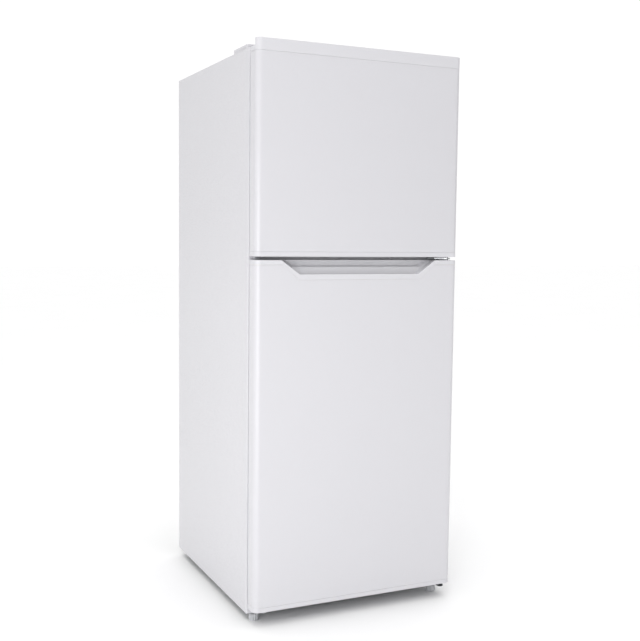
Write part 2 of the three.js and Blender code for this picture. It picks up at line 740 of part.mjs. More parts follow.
function pinHole(radius, from, to) {
  return bar('z', [HINGE.x, HINGE.y - FRONT, 0], radius, from, to);
}

/** The handle's outline from the front, as (z, x), grown by a margin. */
function scoopOutline(height, margin) {
  const low = height - SCOOP.drop - margin;
  const [wide, narrow] = [SCOOP.top + margin, SCOOP.bottom + margin];
  return [[height, -wide], [low, -narrow], [low, narrow], [height, wide]];
}

/** The steel skin: front and sides in one sheet, folded in at the back. */
function doorSkin(height) {
  const z = [DOOR_CAP + GAP, height - DOOR_CAP - GAP];
  const past = [z[0] - PAST, z[1] + PAST];
  return prism('z', doorOutline(SKIN_IN, DOOR_THICKNESS), ...z)
    .subtract(prism('z', doorOutline(SKIN_IN + SHEET, DOOR_THICKNESS - SHEET), ...past))
    .subtract(middleBlock(LINER_HALF + GAP, [LINER_Y[0] - PAST, DOOR_THICKNESS + PAST], past));
}

function doorFoam(height) {
  const z = [DOOR_CAP + GAP, height - DOOR_CAP - GAP];
  const outline = doorOutline(SKIN_IN + SHEET + GAP, LINER_Y[0] - GAP);
  return prism('z', outline, ...z)
    .subtract(pinHole(PIN_CLEARANCE, z[0] - PAST, PIN_REACH + DOOR_CAP))
    .subtract(pinHole(PIN_CLEARANCE, height - PIN_REACH - DOOR_CAP, z[1] + PAST));
}

/** A hook for a bin on each side of the liner's rim. */
function binLugs(z) {
  const y = DOOR_THICKNESS + LUG.from;
  return sideBlocks(
    [RIM.inner - 1.5 - LUG.reach, RIM.inner + 1],
    [y + GAP, y + LUG.width],
    [z + LUG.up, z + LUG.up + LUG.height],
  );
}

/** The inner panel, with its raised rim and the bins' hooks. Heights are above the door's edge. */
function doorLiner(height, rimBottom, rimTop, bins) {
  const plate = middleBlock(LINER_HALF, LINER_Y, [DOOR_CAP + GAP, height - DOOR_CAP - GAP]);
  const y = [LINER_Y[0] + LINER / 2, DOOR_THICKNESS + RIM.depth];
  const rim = middleBlock(RIM.outer, y, [rimBottom, rimTop]).subtract(middleBlock(
    RIM.inner,
    [y[0] - PAST, y[1] + PAST],
    [rimBottom + RIM.width, rimTop - RIM.width],
  ));
  return union([plate, rim, ...bins.map(({ z }) => binLugs(z))]);
}

/** The magnetic seal, a ring between the door's back and the cabinet's front. */
function gasket(bottom, top) {
  const y = [DOOR_THICKNESS + GAP, DOOR_THICKNESS + SEAL_DEPTH - GAP];
  return middleBlock(SEAL_RING.outer, y, [bottom, top]).subtract(middleBlock(
    SEAL_RING.inner,
    [y[0] - PAST, y[1] + PAST],
    [bottom + SEAL_RING.sides, top - SEAL_RING.sides],
  ));
}

/** A plain end cap, with the hole for a hinge pin. */
function endCap(from, to) {
  return prism('z', doorOutline(0, DOOR_THICKNESS), from, to)
    .subtract(pinHole(PIN_HOLE, from - PAST, to + PAST));
}

/** The freezer door's top cap, whose front edge stands up as a lip round the corners. */
function freezerTopCap(height) {
  const lip = prism('z', doorOutline(0, DOOR_THICKNESS), height - 1, height + LIP.height)
    .intersect(middleBlock(HALF, [-PAST, LIP.depth], [0, height + LIP.height + PAST]));
  return endCap(height - DOOR_CAP, height).add(lip);
}

/** The block that stands up into the freezer door, round the finger pocket. */
function pocketBlock(margin) {
  return middleBlock(
    POCKET.half + margin,
    [POCKET.y[0] - margin, POCKET.y[1] + margin],
    [DOOR_CAP - 1, POCKET.height + margin],
  );
}

/** The freezer door's bottom cap, with the finger pocket that opens it from below. */
function freezerBottomCap() {
  const { half, y, height, wall } = POCKET;
  const pocket = middleBlock(
    half - wall,
    [y[0] + 2 * wall, y[1] - wall],
    [-PAST, height - wall],
  );
  return endCap(0, DOOR_CAP).add(pocketBlock(0)).subtract(pocket);
}

/** The hollow of the handle: where its profile, its front outline and its plan all meet. */
function scoopHollow(height) {
  const low = height - SCOOP.edge;
  const profile = [
    [-PAST, low], [3, low], [10, low - 5], [17, low - 5], [24, low + 2],
    [SCOOP.back, low + 14], [SCOOP.back, height + PAST], [-PAST, height + PAST],
  ];
  const { top, bottom } = SCOOP_INNER;
  const slope = (top - bottom) / SCOOP.edge;
  const ends = [[height + PAST, top + slope * PAST], [low - PAST, bottom - slope * PAST]];
  const front = [
    [ends[0][0], -ends[0][1]], [ends[1][0], -ends[1][1]],
    [ends[1][0], ends[1][1]], [ends[0][0], ends[0][1]],
  ];
  const plan = [[-top - 8, -PAST], [top + 8, -PAST], [top - 14, SCOOP.depth], [14 - top, SCOOP.depth]];
  return prism('x', profile, -HALF, HALF)
    .intersect(prism('y', front, -PAST, SCOOP.depth))
    .intersect(prism('z', plan, 0, height + PAST));
}

/** The fridge door's top cap, which holds the handle scoop. */
function fridgeTopCap(height) {
  return endCap(height - DOOR_CAP, height)
    .add(prism('y', scoopOutline(height, 0), 0, SCOOP.depth))
    .subtract(scoopHollow(height));
}

/** A door bin: an open box whose thick ends have slots for the hooks. */
function bin(z, binHeight) {
  const y = [DOOR_THICKNESS + 1.5, DOOR_THICKNESS + 1.5 + BIN.depth];
  const outer = middleBlock(BIN.half, y, [z, z + binHeight]);
  const inner = middleBlock(
    BIN.half - BIN.end,
    [y[0] + BIN.wall, y[1] - BIN.wall],
    [z + BIN.bottom, z + binHeight + PAST],
  );
  const slotY = DOOR_THICKNESS + LUG.from;
  const slots = sideBlocks(
    [BIN.half - LUG.reach - GAP, BIN.half + 1],
    [slotY, slotY + LUG.width + GAP],
    [z - PAST, z + LUG.up + LUG.height + GAP],
  );
  return outer.subtract(inner).subtract(slots);
}

// Bin heights above each door's lower edge
const FREEZER_BINS = [
  { name: 'freezer_bin_upper', z: 270, height: 80 },
  { name: 'freezer_bin_lower', z: 62, height: 80 },
];
const FRIDGE_BINS = [
  { name: 'fridge_bin_upper', z: 620, height: 75 },
  { name: 'fridge_bin_middle', z: 360, height: 75 },
  { name: 'fridge_bin_bottle', z: 68, height: 130 },
];

/** A door's group, with the pieces that both doors have. hollow cuts its skin and foam. */
function door(kind, { bottom, top }, { floor, ceiling }, seal, bins, hollow) {
  const height = top - bottom;
  const group = new THREE.Group();
  group.position.set(0, FRONT, bottom);
  const rim = [floor + RIM.clear - bottom, ceiling - RIM.clear - bottom];
  const skin = doorSkin(height).subtract(hollow);
  const foam = doorFoam(height).subtract(hollow);
  group.add(
    piece(`${kind}_door_skin`, skin, WHITE_STEEL),
    piece(`${kind}_door_foam`, foam, FOAM),
    piece(`${kind}_door_liner`, doorLiner(height, ...rim, bins), LINER_PLASTIC),
    piece(`${kind}_door_gasket`, gasket(...seal), SEAL),
    ...bins.map(({ name, z, height: up }) => piece(name, bin(z, up), CLEAR_PLASTIC)),
  );
  return group;
}

function freezerDoor() {
  const height = FREEZER_DOOR.top - FREEZER_DOOR.bottom;
  const pocket = pocketBlock(GAP);
  const group = door('freezer', FREEZER_DOOR, FREEZER_ROOM, [7, 502], FREEZER_BINS, pocket);
  group.add(
    piece('freezer_door_top_cap', freezerTopCap(height), WHITE_PLASTIC),
    piece('freezer_door_bottom_cap', freezerBottomCap(), WHITE_PLASTIC),
  );
  return group;
}

function fridgeDoor() {
  const height = FRIDGE_DOOR.top - FRIDGE_DOOR.bottom;
  const scoop = prism('y', scoopOutline(height, GAP), -PAST, SCOOP.depth + GAP);
  const group = door('fridge', FRIDGE_DOOR, FRIDGE_ROOM, [9, 905], FRIDGE_BINS, scoop);
  group.add(
    piece('fridge_door_top_cap', fridgeTopCap(height), WHITE_PLASTIC),
    piece('fridge_door_bottom_cap', endCap(0, DOOR_CAP), WHITE_PLASTIC),
  );
  return group;
}

// ---- Assembly ----
function cabinet() {
  const group = new THREE.Group();
  group.add(
    piece('left_side_panel', sidePanel(-1), WHITE_STEEL),
    piece('right_side_panel', sidePanel(1), WHITE_STEEL),
    piece('top_panel', topPanel(), WHITE_STEEL),
    piece('rear_panel', rearPanel(), GALVANISED),
    piece('bottom_panel', bottomPanel(), GALVANISED),
    piece('mullion_rail', mullionRail(), WHITE_STEEL),
    piece('cabinet_foam', cabinetFoam(), FOAM),
    piece('freezer_liner', freezerLiner(), LINER_PLASTIC),
    piece('fridge_liner', fridgeLiner(), LINER_PLASTIC),
    piece('rear_spacer_left', rearSpacer(-1), GREY_PLASTIC),
    piece('rear_spacer_right', rearSpacer(1), GREY_PLASTIC),
    piece('front_foot_left', frontFoot(-1), GREY_PLASTIC),
    piece('front_foot_right', frontFoot(1), GREY_PLASTIC),
  );
  return group;
}

function machineSpace() {
  const group = new THREE.Group();
  group.add(
    piece('base_pan', basePan(), GALVANISED),
    piece('rear_roller_left', rearRoller(-1), BLACK_PLASTIC),
    piece('rear_roller_right', rearRoller(1), BLACK_PLASTIC),
    piece('compressor', compressor(), BLACK_ENAMEL),
    piece('compressor_terminal_cover', terminalCover(), BLACK_PLASTIC),
    piece('drip_tray', dripTray(), BLACK_PLASTIC),
    piece('discharge_pipe', dischargePipe(), COPPER),
    piece('cord_gland', cordGland(), BLACK_PLASTIC),
  );
  return group;
}

function coldParts() {
  const group = new THREE.Group();
  group.add(
    piece('evaporator', evaporator(), ALUMINIUM),
    piece('evaporator_cover', evaporatorCover(), LINER_PLASTIC),
    piece('fan_motor', fanMotor(), BLACK_PLASTIC),
    piece('fan_blade', fanBlade(), WHITE_PLASTIC),
  );
  return group;
}

function roomFittings() {
  const { upper, lower, back } = FRIDGE_SHELVES;
  const cover = CRISPER_COVER;
  const group = new THREE.Group();
  group.add(
    piece('freezer_shelf', shelf(FREEZER_SHELF.z, SHELF.front, FREEZER_SHELF.back), GLASS),
    piece('fridge_shelf_upper', shelf(upper, SHELF.front, back), GLASS),
    piece('fridge_shelf_lower', shelf(lower, SHELF.front, back), GLASS),
    piece('crisper_cover', shelf(cover.z, cover.front, cover.back), GLASS),
    piece('crisper_drawer', crisperDrawer(), CLEAR_PLASTIC),
    piece('air_duct', airDuct(), LINER_PLASTIC),
    piece('control_housing', controlHousing(), WHITE_PLASTIC),
    piece('thermostat_knob', thermostatKnob(), GREY_PLASTIC),
    piece('lamp_cover', lampCover(), CLEAR_PLASTIC),
    piece('light_switch_plunger', lightSwitchPlunger(), WHITE_PLASTIC),
  );
  return group;
}

function hinges() {
  const group = new THREE.Group();
  const topPin = [FREEZER_DOOR.top - PIN_REACH, TOP_PLATE.z + TOP_PLATE.thick + 2];
  const middlePin = [FRIDGE_DOOR.top - PIN_REACH, FREEZER_DOOR.bottom + PIN_REACH];
  const bottomPin = [BOTTOM.arm[0] - 2, FRIDGE_DOOR.bottom + PIN_REACH];
  group.add(
    piece('top_hinge_plate', topHingePlate(), PLATED_STEEL),
    piece('top_hinge_pin', pin(...topPin), PLATED_STEEL),
    piece('top_hinge_cover', topHingeCover(), WHITE_PLASTIC),
    piece('hinge_hole_cover', hingeHoleCover(), WHITE_PLASTIC),
    piece('middle_hinge_bracket', bracket(MIDDLE), PLATED_STEEL),
    piece('middle_hinge_pin', pin(...middlePin), PLATED_STEEL),
    piece('bottom_hinge_bracket', bracket(BOTTOM), DARK_STEEL),
    piece('bottom_hinge_pin', pin(...bottomPin), DARK_STEEL),
  );
  return group;
}

const refrigerator = new THREE.Group();
refrigerator.name = 'refrigerator';
refrigerator.add(
  cabinet(),
  machineSpace(),
  coldParts(),
  roomFittings(),
  hinges(),
  freezerDoor(),
  fridgeDoor(),
);

export default refrigerator;
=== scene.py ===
"""The finished look of a top freezer refrigerator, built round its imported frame.

Sizes are in millimetres, in the frame's own axes: +Z up, doors facing -Y, hinges at +X.
Every mesh is turned into metres when it becomes a piece.
"""
import json
import math

import bmesh
import bpy
from mathutils import Matrix, Vector

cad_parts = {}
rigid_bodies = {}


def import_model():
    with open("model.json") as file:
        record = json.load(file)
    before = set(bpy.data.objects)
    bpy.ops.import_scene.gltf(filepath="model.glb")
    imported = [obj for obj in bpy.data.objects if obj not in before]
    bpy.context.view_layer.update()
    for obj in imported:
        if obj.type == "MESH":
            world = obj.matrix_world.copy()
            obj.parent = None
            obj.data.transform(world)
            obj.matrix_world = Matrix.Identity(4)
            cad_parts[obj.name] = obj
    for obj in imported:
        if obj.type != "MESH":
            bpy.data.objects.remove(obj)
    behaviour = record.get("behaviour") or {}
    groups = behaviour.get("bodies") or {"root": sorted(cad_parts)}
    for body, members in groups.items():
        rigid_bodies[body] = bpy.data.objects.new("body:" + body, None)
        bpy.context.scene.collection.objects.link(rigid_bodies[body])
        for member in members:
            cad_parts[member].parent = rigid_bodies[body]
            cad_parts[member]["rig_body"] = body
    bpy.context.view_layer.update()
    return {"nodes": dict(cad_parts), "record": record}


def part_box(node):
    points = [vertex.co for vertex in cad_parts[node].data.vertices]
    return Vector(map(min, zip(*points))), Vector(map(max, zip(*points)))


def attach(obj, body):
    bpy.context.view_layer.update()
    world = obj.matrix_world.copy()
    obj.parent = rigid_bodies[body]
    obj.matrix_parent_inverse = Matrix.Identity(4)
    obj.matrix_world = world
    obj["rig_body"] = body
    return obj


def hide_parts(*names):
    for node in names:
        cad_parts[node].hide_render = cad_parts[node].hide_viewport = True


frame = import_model()

MM = 0.001
NODES = frame["nodes"]
SLOT_OF = {part["node"]: part["material_slot"] for part in frame["record"]["subparts"]}


def span(node):
    """A node's lowest and highest corners, in millimetres."""
    low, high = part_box(node)
    return low / MM, high / MM


def middle_of(node):
    return sum(span(node), Vector()) / 2


# ---- Driving sizes, read from the frame ----
FREEZER_LOW, FREEZER_HIGH = span("freezer_door_skin")
FRIDGE_LOW, FRIDGE_HIGH = span("fridge_door_skin")
CAP_LOW, CAP_HIGH = span("fridge_door_top_cap")
HALF = CAP_HIGH.x  # half the object's width
FRONT = CAP_LOW.y  # the doors' front
DOOR_BACK = CAP_HIGH.y
SIDE_LOW, SIDE_HIGH = span("right_side_panel")
FLANGE_INNER = SIDE_LOW.x
CABINET_FRONT = SIDE_LOW.y
CABINET_BACK = SIDE_HIGH.y
PIN_LOW, PIN_HIGH = span("middle_hinge_pin")
HINGE = (PIN_LOW + PIN_HIGH) / 2

SHEET = 1.2
LINER = 1.5
SEAM = 0.3  # gap between pieces that touch
DOOR_CORNER = 16
SKIN_IN = 0.2  # the skin is this far inside the caps' outline
PIN_HOLE = 4.5


# ---- Outlines ----
def fillet(points, radius, steps=6, closed=True):
    """Points with round corners. radius is one value, or one for each point."""
    radii = radius if isinstance(radius, (list, tuple)) else [radius] * len(points)
    result = []
    for i, (point, size) in enumerate(zip(points, radii)):
        here = Vector(point)
        at_end = not closed and i in (0, len(points) - 1)
        if at_end or size == 0:
            result.append(here)
            continue
        before = (Vector(points[i - 1]) - here).normalized()
        after = (Vector(points[(i + 1) % len(points)]) - here).normalized()
        half = before.angle(after) / 2
        centre = here + (before + after).normalized() * (size / math.sin(half))
        reach = size / math.tan(half)
        start = here + before * reach - centre
        end = here + after * reach - centre
        first = math.atan2(start.y, start.x)
        turn = (math.atan2(end.y, end.x) - first + math.pi) % (2 * math.pi) - math.pi
        for k in range(steps + 1):
            angle = first + turn * k / steps
            result.append(centre + size * Vector((math.cos(angle), math.sin(angle))))
    return result


def rectangle(low, high, inset=0.0, radius=0.0, steps=6):
    """A rectangle's outline, moved in by inset, with round corners of the given radius."""
    x0, y0, x1, y1 = low[0] + inset, low[1] + inset, high[0] - inset, high[1] - inset
    return fillet([(x0, y0), (x1, y0), (x1, y1), (x0, y1)], radius, steps)


def arc(centre, size, start, end, steps=6):
    """Points on an arc or part of an ellipse, with angles in degrees."""
    width, height = size if isinstance(size, tuple) else (size, size)
    turns = [math.radians(start + (end - start) * k / steps) for k in range(steps + 1)]
    return [(centre[0] + width * math.cos(a), centre[1] + height * math.sin(a)) for a in turns]


def angles(*degrees):
    return [math.radians(angle) for angle in degrees]


def smoothed(share):
    """A smooth step from 0 to 1."""
    return (3 - 2 * share) * share ** 2


def placed(axis, u, v, w):
    """A point from its places along the other two axes (u and v, in order) and along axis (w)."""
    return {"x": (w, u, v), "y": (u, w, v), "z": (u, v, w)}[axis]


# ---- Solids, as bmesh ----
def loft(rings, capped=True, cyclic=False):
    """Faces between rings with the same number of points. cyclic joins the last ring to the first."""
    bm = bmesh.new()
    loops = [[bm.verts.new(point) for point in ring] for ring in rings]
    pairs = list(zip(loops, loops[1:]))
    if cyclic:
        pairs.append((loops[-1], loops[0]))
    for near, far in pairs:
        for i in range(len(near)):
            j = (i + 1) % len(near)
            bm.faces.new((near[i], near[j], far[j], far[i]))
    if capped and not cyclic:
        bm.faces.new(reversed(loops[0]))
        bm.faces.new(loops[-1])
    bmesh.ops.recalc_face_normals(bm, faces=bm.faces)
    return bm


def prism(axis, outline, start, end):
    """A prism along an axis. Its outline is in the other two axes, in order x, y, z."""
    return loft([[placed(axis, u, v, w) for u, v in outline] for w in (start, end)])


def block(low, high):
    return prism("z", rectangle(low[:2], high[:2]), low[2], high[2])


def side_block(side, near, far, y, z):
    """A block on one side (-1 or 1), between two distances from the object's middle."""
    x = sorted((side * near, side * far))
    return block((x[0], y[0], z[0]), (x[1], y[1], z[1]))


def rings_of(axis, low, high, profile):
    """Rings of rounded rectangles. profile holds (inset, height, corner radius) entries."""
    return [
        [placed(axis, u, v, height) for u, v in rectangle(low, high, inset, radius)]
        for inset, height, radius in profile
    ]


def lathe(profile, centre=(0, 0, 0), axis="z", sides=32, shape=None, hollow=False):
    """A body turned about an axis, from (radius, height) pairs. shape scales the radius by angle.
    A hollow body's profile goes all the way round."""
    rings = []
    for radius, height in profile:
        ring = []
        for k in range(sides):
            angle = 2 * math.pi * k / sides
            reach = radius * (shape(angle) if shape else 1)
            offset = placed(axis, reach * math.cos(angle), reach * math.sin(angle), height)
            ring.append(Vector(centre) + Vector(offset))
        rings.append(ring)
    return loft(rings, cyclic=hollow)


def rod(axis, centre, radius, start, end, edge=0.4, sides=24):
    """A round bar with softened ends."""
    inner = radius - edge
    profile = [(inner, start), (radius, start + edge), (radius, end - edge), (inner, end)]
    return lathe(profile, centre, axis, sides)


def smooth_path(points, steps=10):
    """A smooth curve through points (Catmull-Rom)."""
    points = [Vector(p) for p in points]
    ends = [2 * points[0] - points[1], *points, 2 * points[-1] - points[-2]]
    path = []
    for a, b, c, d in zip(ends, ends[1:], ends[2:], ends[3:]):
        for k in range(steps):
            t = k / steps
            path.append(0.5 * (
                2 * b + (c - a) * t + (2 * a - 5 * b + 4 * c - d) * t ** 2
                + (3 * b - a - 3 * c + d) * t ** 3
            ))
    return [*path, points[-1]]


def tube(path, radius, sides=12):
    """A round tube along a path. radius is one value, or one for each point."""
    radii = radius if isinstance(radius, list) else [radius] * len(path)
    side = Vector((0, 0, 1)).cross(path[1] - path[0])
    if side.length < 1e-3:
        side = Vector((1, 0, 0))
    rings = []
    for i, (point, size) in enumerate(zip(path, radii)):
        along = (path[min(i + 1, len(path) - 1)] - path[max(i - 1, 0)]).normalized()
        side = (side - along * side.dot(along)).normalized()
        up = along.cross(side)
        turns = [2 * math.pi * k / sides for k in range(sides)]
        rings.append([point + size * (side * math.cos(a) + up * math.sin(a)) for a in turns])
    return loft(rings)


def joined(*parts):
    """Several solids as one mesh."""
    bm = bmesh.new()
    for part in parts:
        mesh = bpy.data.meshes.new("part")
        part.to_mesh(mesh)
        part.free()
        bm.from_mesh(mesh)
        bpy.data.meshes.remove(mesh)
    return bm


def moved(bm, offset):
    bmesh.ops.translate(bm, verts=bm.verts, vec=Vector(offset))
    return bm


def copies(bm, offsets):
    """Copies of a solid at each offset, as one mesh."""
    return joined(*[moved(bm.copy(), offset) for offset in offsets])


def tidied(bm):
    """Doubled points merged, and flat neighbours made one face."""
    bmesh.ops.remove_doubles(bm, verts=bm.verts, dist=0.002)
    bmesh.ops.dissolve_limit(bm, angle_limit=math.radians(0.3), verts=bm.verts, edges=bm.edges)
    return bm


def combined(first, second, how):
    """Two solids through a boolean: UNION, DIFFERENCE or INTERSECT."""
    bodies = []
    for bm in (first, second):
        mesh = bpy.data.meshes.new("boolean")
        bm.to_mesh(mesh)
        bm.free()
        body = bpy.data.objects.new("boolean", mesh)
        bpy.context.scene.collection.objects.link(body)
        bodies.append(body)
    modifier = bodies[0].modifiers.new("boolean", "BOOLEAN")
    modifier.operation = how
    modifier.object = bodies[1]
    modifier.solver = "EXACT"
    evaluated = bodies[0].evaluated_get(bpy.context.evaluated_depsgraph_get())
    bm = bmesh.new()
    bm.from_mesh(evaluated.to_mesh())
    evaluated.to_mesh_clear()
    for body in bodies:
        mesh = body.data
        bpy.data.objects.remove(body)
        bpy.data.meshes.remove(mesh)
    return tidied(bm)


def cut(bm, *cutters):
    for cutter in cutters:
        bm = combined(bm, cutter, "DIFFERENCE")
    return bm


def united(bm, *others):
    for other in others:
        bm = combined(bm, other, "UNION")
    return bm


def softened(bm, width, segments=2, over=30, pick=None):
    """Rounded edges where faces meet at more than an angle. pick chooses by an edge's middle."""
    limit = math.radians(over)
    edges = []
    for edge in bm.edges:
        middle = (edge.verts[0].co + edge.verts[1].co) / 2
        if edge.calc_face_angle(0) > limit and (pick is None or pick(middle)):
            edges.append(edge)
    bmesh.ops.bevel(
        bm, geom=edges, offset=width, offset_type="OFFSET", segments=segments,
        profile=0.5, affect="EDGES", clamp_overlap=True,
    )
    return bm


def from_node(node):
    """A node's own shape in millimetres, with its flat faces whole."""
    bm = bmesh.new()
    bm.from_mesh(NODES[node].data)
    bm.transform(Matrix.Scale(1 / MM, 4))
    return tidied(bm)


# ---- Materials ----
def link(tree, source, output, target, socket):
    tree.links.new(source.outputs[output], target.inputs[socket])


def node_of(tree, kind, **values):
    made = tree.nodes.new(kind)
    for name, value in values.items():
        if hasattr(made, name):
            setattr(made, name, value)
        else:
            made.inputs[name.replace("_", " ")].default_value = value
    return made


def noise_of(tree, scale, detail=1.0, stretch=(1, 1, 1), cells=False):
    """A noise or cell pattern that stays with the piece. Its scale is per metre."""
    place = node_of(tree, "ShaderNodeTexCoord")
    mapping = node_of(tree, "ShaderNodeMapping", Scale=stretch)
    link(tree, place, "Object", mapping, "Vector")
    kind = "ShaderNodeTexVoronoi" if cells else "ShaderNodeTexNoise"
    made = node_of(tree, kind, Scale=scale)
    if not cells:
        made.inputs["Detail"].default_value = detail
    link(tree, mapping, "Vector", made, "Vector")
    return made


def surface(name, colours, patch, rough, grain, metallic=0.0, stretch=(1, 1, 1), cells=False, **sockets):
    """A material. colours are its two shades, patch the scale that they vary at, rough the lowest
    and highest roughness, and grain the bump's (scale, height in mm, strength)."""
    material = bpy.data.materials.new(name)
    material.use_nodes = True
    tree = material.node_tree
    shader = tree.nodes["Principled BSDF"]
    shader.inputs["Metallic"].default_value = metallic
    for socket, value in sockets.items():
        shader.inputs[socket.replace("_", " ")].default_value = value

    shades = noise_of(tree, patch, stretch=stretch, cells=cells)
    ramp = node_of(tree, "ShaderNodeValToRGB")
    ramp.color_ramp.elements[0].color = (*colours[0], 1)
    ramp.color_ramp.elements[1].color = (*colours[1], 1)
    if not cells:
        ramp.color_ramp.elements[0].position = 0.25
        ramp.color_ramp.elements[1].position = 0.75
    link(tree, shades, "Color" if cells else "Fac", ramp, "Fac")
    link(tree, ramp, "Color", shader, "Base Color")

    uneven = noise_of(tree, patch * 3, stretch=stretch)
    spread = node_of(tree, "ShaderNodeMapRange")
    spread.inputs["From Min"].default_value = 0.2
    spread.inputs["From Max"].default_value = 0.8
    spread.inputs["To Min"].default_value = rough[0]
    spread.inputs["To Max"].default_value = rough[1]
    link(tree, uneven, "Fac", spread, "Value")
    link(tree, spread, "Result", shader, "Roughness")

    scale, height, strength = grain
    fine = noise_of(tree, scale, detail=2.0, stretch=stretch)
    bump = node_of(tree, "ShaderNodeBump", Strength=strength, Distance=height * MM)
    link(tree, fine, "Fac", bump, "Height")
    link(tree, bump, "Normal", shader, "Normal")
    return material


def make_materials():
    """One material for each of the record's slots."""
    lengthwise = (1, 1, 0.04)
    return {
        "white_steel": surface(
            "white_paint", [(0.682, 0.676, 0.706), (0.690, 0.684, 0.714)], 350, (0.25, 0.31),
            (420, 0.012, 0.15), Coat_Weight=0.3, Coat_Roughness=0.16,
        ),
        "white_plastic": surface(
            "white_plastic", [(0.682, 0.677, 0.706), (0.694, 0.689, 0.718)], 400, (0.34, 0.42),
            (900, 0.015, 0.5),
        ),
        "liner_plastic": surface(
            "liner_plastic", [(0.765, 0.77, 0.775), (0.775, 0.78, 0.785)], 300, (0.25, 0.33),
            (500, 0.03, 0.4), Coat_Weight=0.2, Coat_Roughness=0.2,
        ),
        "clear_plastic": surface(
            "clear_plastic", [(0.93, 0.965, 0.975), (0.95, 0.975, 0.985)], 200, (0.06, 0.11),
            (300, 0.03, 0.3), Transmission_Weight=0.9, IOR=1.49,
        ),
        "shelf_glass": surface(
            "shelf_glass", [(0.84, 0.94, 0.90), (0.87, 0.96, 0.92)], 40, (0.01, 0.03),
            (60, 0.01, 0.2), Transmission_Weight=1.0, IOR=1.5,
        ),
        "foam": surface(
            "foam", [(0.74, 0.62, 0.34), (0.86, 0.76, 0.48)], 60, (0.85, 0.95),
            (450, 0.6, 0.8), cells=True,
        ),
        # The seal's colour is its own grey made darker and bluer: painted shade, standing in for the shaded
        # gap between the doors
        "door_seal": surface(
            "door_seal", [(0.42, 0.46, 0.53), (0.48, 0.52, 0.59)], 20, (0.5, 0.66),
            (1500, 0.03, 0.6),
        ),
        "grey_plastic": surface(
            "grey_plastic", [(0.52, 0.53, 0.55), (0.60, 0.61, 0.63)], 25, (0.38, 0.5),
            (1200, 0.03, 0.5),
        ),
        "dark_steel": surface(
            "dark_steel", [(0.03, 0.032, 0.036), (0.06, 0.062, 0.068)], 60, (0.38, 0.55),
            (1400, 0.05, 0.5), metallic=0.5,
        ),
        "plated_steel": surface(
            "plated_steel", [(0.50, 0.51, 0.53), (0.64, 0.65, 0.66)], 90, (0.25, 0.42),
            (900, 0.03, 0.5), metallic=1.0,
        ),
        "galvanised_steel": surface(
            "galvanised_steel", [(0.50, 0.515, 0.53), (0.575, 0.59, 0.605)], 110, (0.42, 0.50),
            (300, 0.03, 0.4), metallic=0.85, cells=True,
        ),
        "black_enamel": surface(
            "black_enamel", [(0.012, 0.012, 0.013), (0.022, 0.022, 0.024)], 30, (0.22, 0.36),
            (700, 0.05, 0.5), Coat_Weight=0.3, Coat_Roughness=0.15,
        ),
        "black_plastic": surface(
            "black_plastic", [(0.02, 0.02, 0.022), (0.035, 0.035, 0.038)], 40, (0.45, 0.6),
            (1600, 0.05, 0.6),
        ),
        "copper": surface(
            "copper", [(0.55, 0.24, 0.13), (0.76, 0.39, 0.24)], 70, (0.2, 0.42),
            (600, 0.03, 0.4), metallic=1.0,
        ),
        "coil_aluminium": surface(
            "coil_aluminium", [(0.60, 0.61, 0.63), (0.72, 0.73, 0.75)], 50, (0.28, 0.45),
            (500, 0.03, 0.4), metallic=1.0, stretch=lengthwise,
        ),
    }


MATERIALS = make_materials()


# ---- Turning solids into pieces ----
def piece(name, bm, body, slot, replaces=()):
    """A finished piece, which rides on a body and stands for the CAD nodes that it replaces."""
    bmesh.ops.remove_doubles(bm, verts=bm.verts, dist=0.0005)
    bmesh.ops.recalc_face_normals(bm, faces=bm.faces)
    bm.transform(Matrix.Scale(MM, 4))
    mesh = bpy.data.meshes.new(name)
    bm.to_mesh(mesh)
    bm.free()
    mesh.materials.append(MATERIALS[slot])
    mesh.shade_smooth()
    mesh.set_sharp_from_angle(angle=math.radians(38))
    obj = bpy.data.objects.new(name, mesh)
    bpy.context.scene.collection.objects.link(obj)
    obj.modifiers.new("normals", "WEIGHTED_NORMAL").keep_sharp = True
    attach(obj, body)
    if replaces:
        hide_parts(*replaces)
    return obj


def stand_in(node, bm):
    """A detailed piece in place of one CAD node."""
    return piece(node + "_detailed", bm, NODES[node]["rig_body"], SLOT_OF[node], [node])


def keep(node, edge=0.4, segments=2):
    """A CAD node that stays, with a material and softened edges."""
    obj = NODES[node]
    obj.data.materials.clear()
    obj.data.materials.append(MATERIALS[SLOT_OF[node]])
    weld = obj.modifiers.new("weld", "WELD")
    weld.merge_threshold = 2e-6
    flat = obj.modifiers.new("flat", "DECIMATE")
    flat.decimate_type = "DISSOLVE"
    flat.angle_limit = math.radians(0.5)
    if edge:
        bevel = obj.modifiers.new("edges", "BEVEL")
        bevel.width = edge * MM
        bevel.segments = segments
        bevel.limit_method = "ANGLE"
        bevel.angle_limit = math.radians(35)
        obj.modifiers.new("normals", "WEIGHTED_NORMAL").keep_sharp = True
    return obj


def screw(centre, axis, outward, radius):
    """A pan head screw with a cross recess. outward is 1 or -1 along the axis."""
    rise = radius * 0.6
    dome = [(radius * math.cos(a), rise * math.sin(a)) for a in (0.35, 0.7, 1.05, 1.35)]
    profile = [(radius * 0.9, -0.4), (radius, 0), *dome, (0.2, rise)]
    head = lathe([(r, outward * h) for r, h in profile], axis=axis, sides=20)
    arm, width, depth = radius * 0.55, radius * 0.13, rise * 0.4
    for long, wide in ((arm, width), (width, arm)):
        first = placed(axis, -long, -wide, outward * depth)
        second = placed(axis, long, wide, outward * (rise + 1))
        head = cut(head, block(list(map(min, first, second)), list(map(max, first, second))))
    return moved(head, centre)


# ---- Doors ----
def door_outline():
    """A door from above, with round front edges."""
    corners = [(HALF, DOOR_BACK), (-HALF, DOOR_BACK), (-HALF, FRONT), (HALF, FRONT)]
    return fillet(corners, [0, 0, DOOR_CORNER, DOOR_CORNER], 12)


def door_slab(low, high):
    return prism("z", door_outline(), low, high)


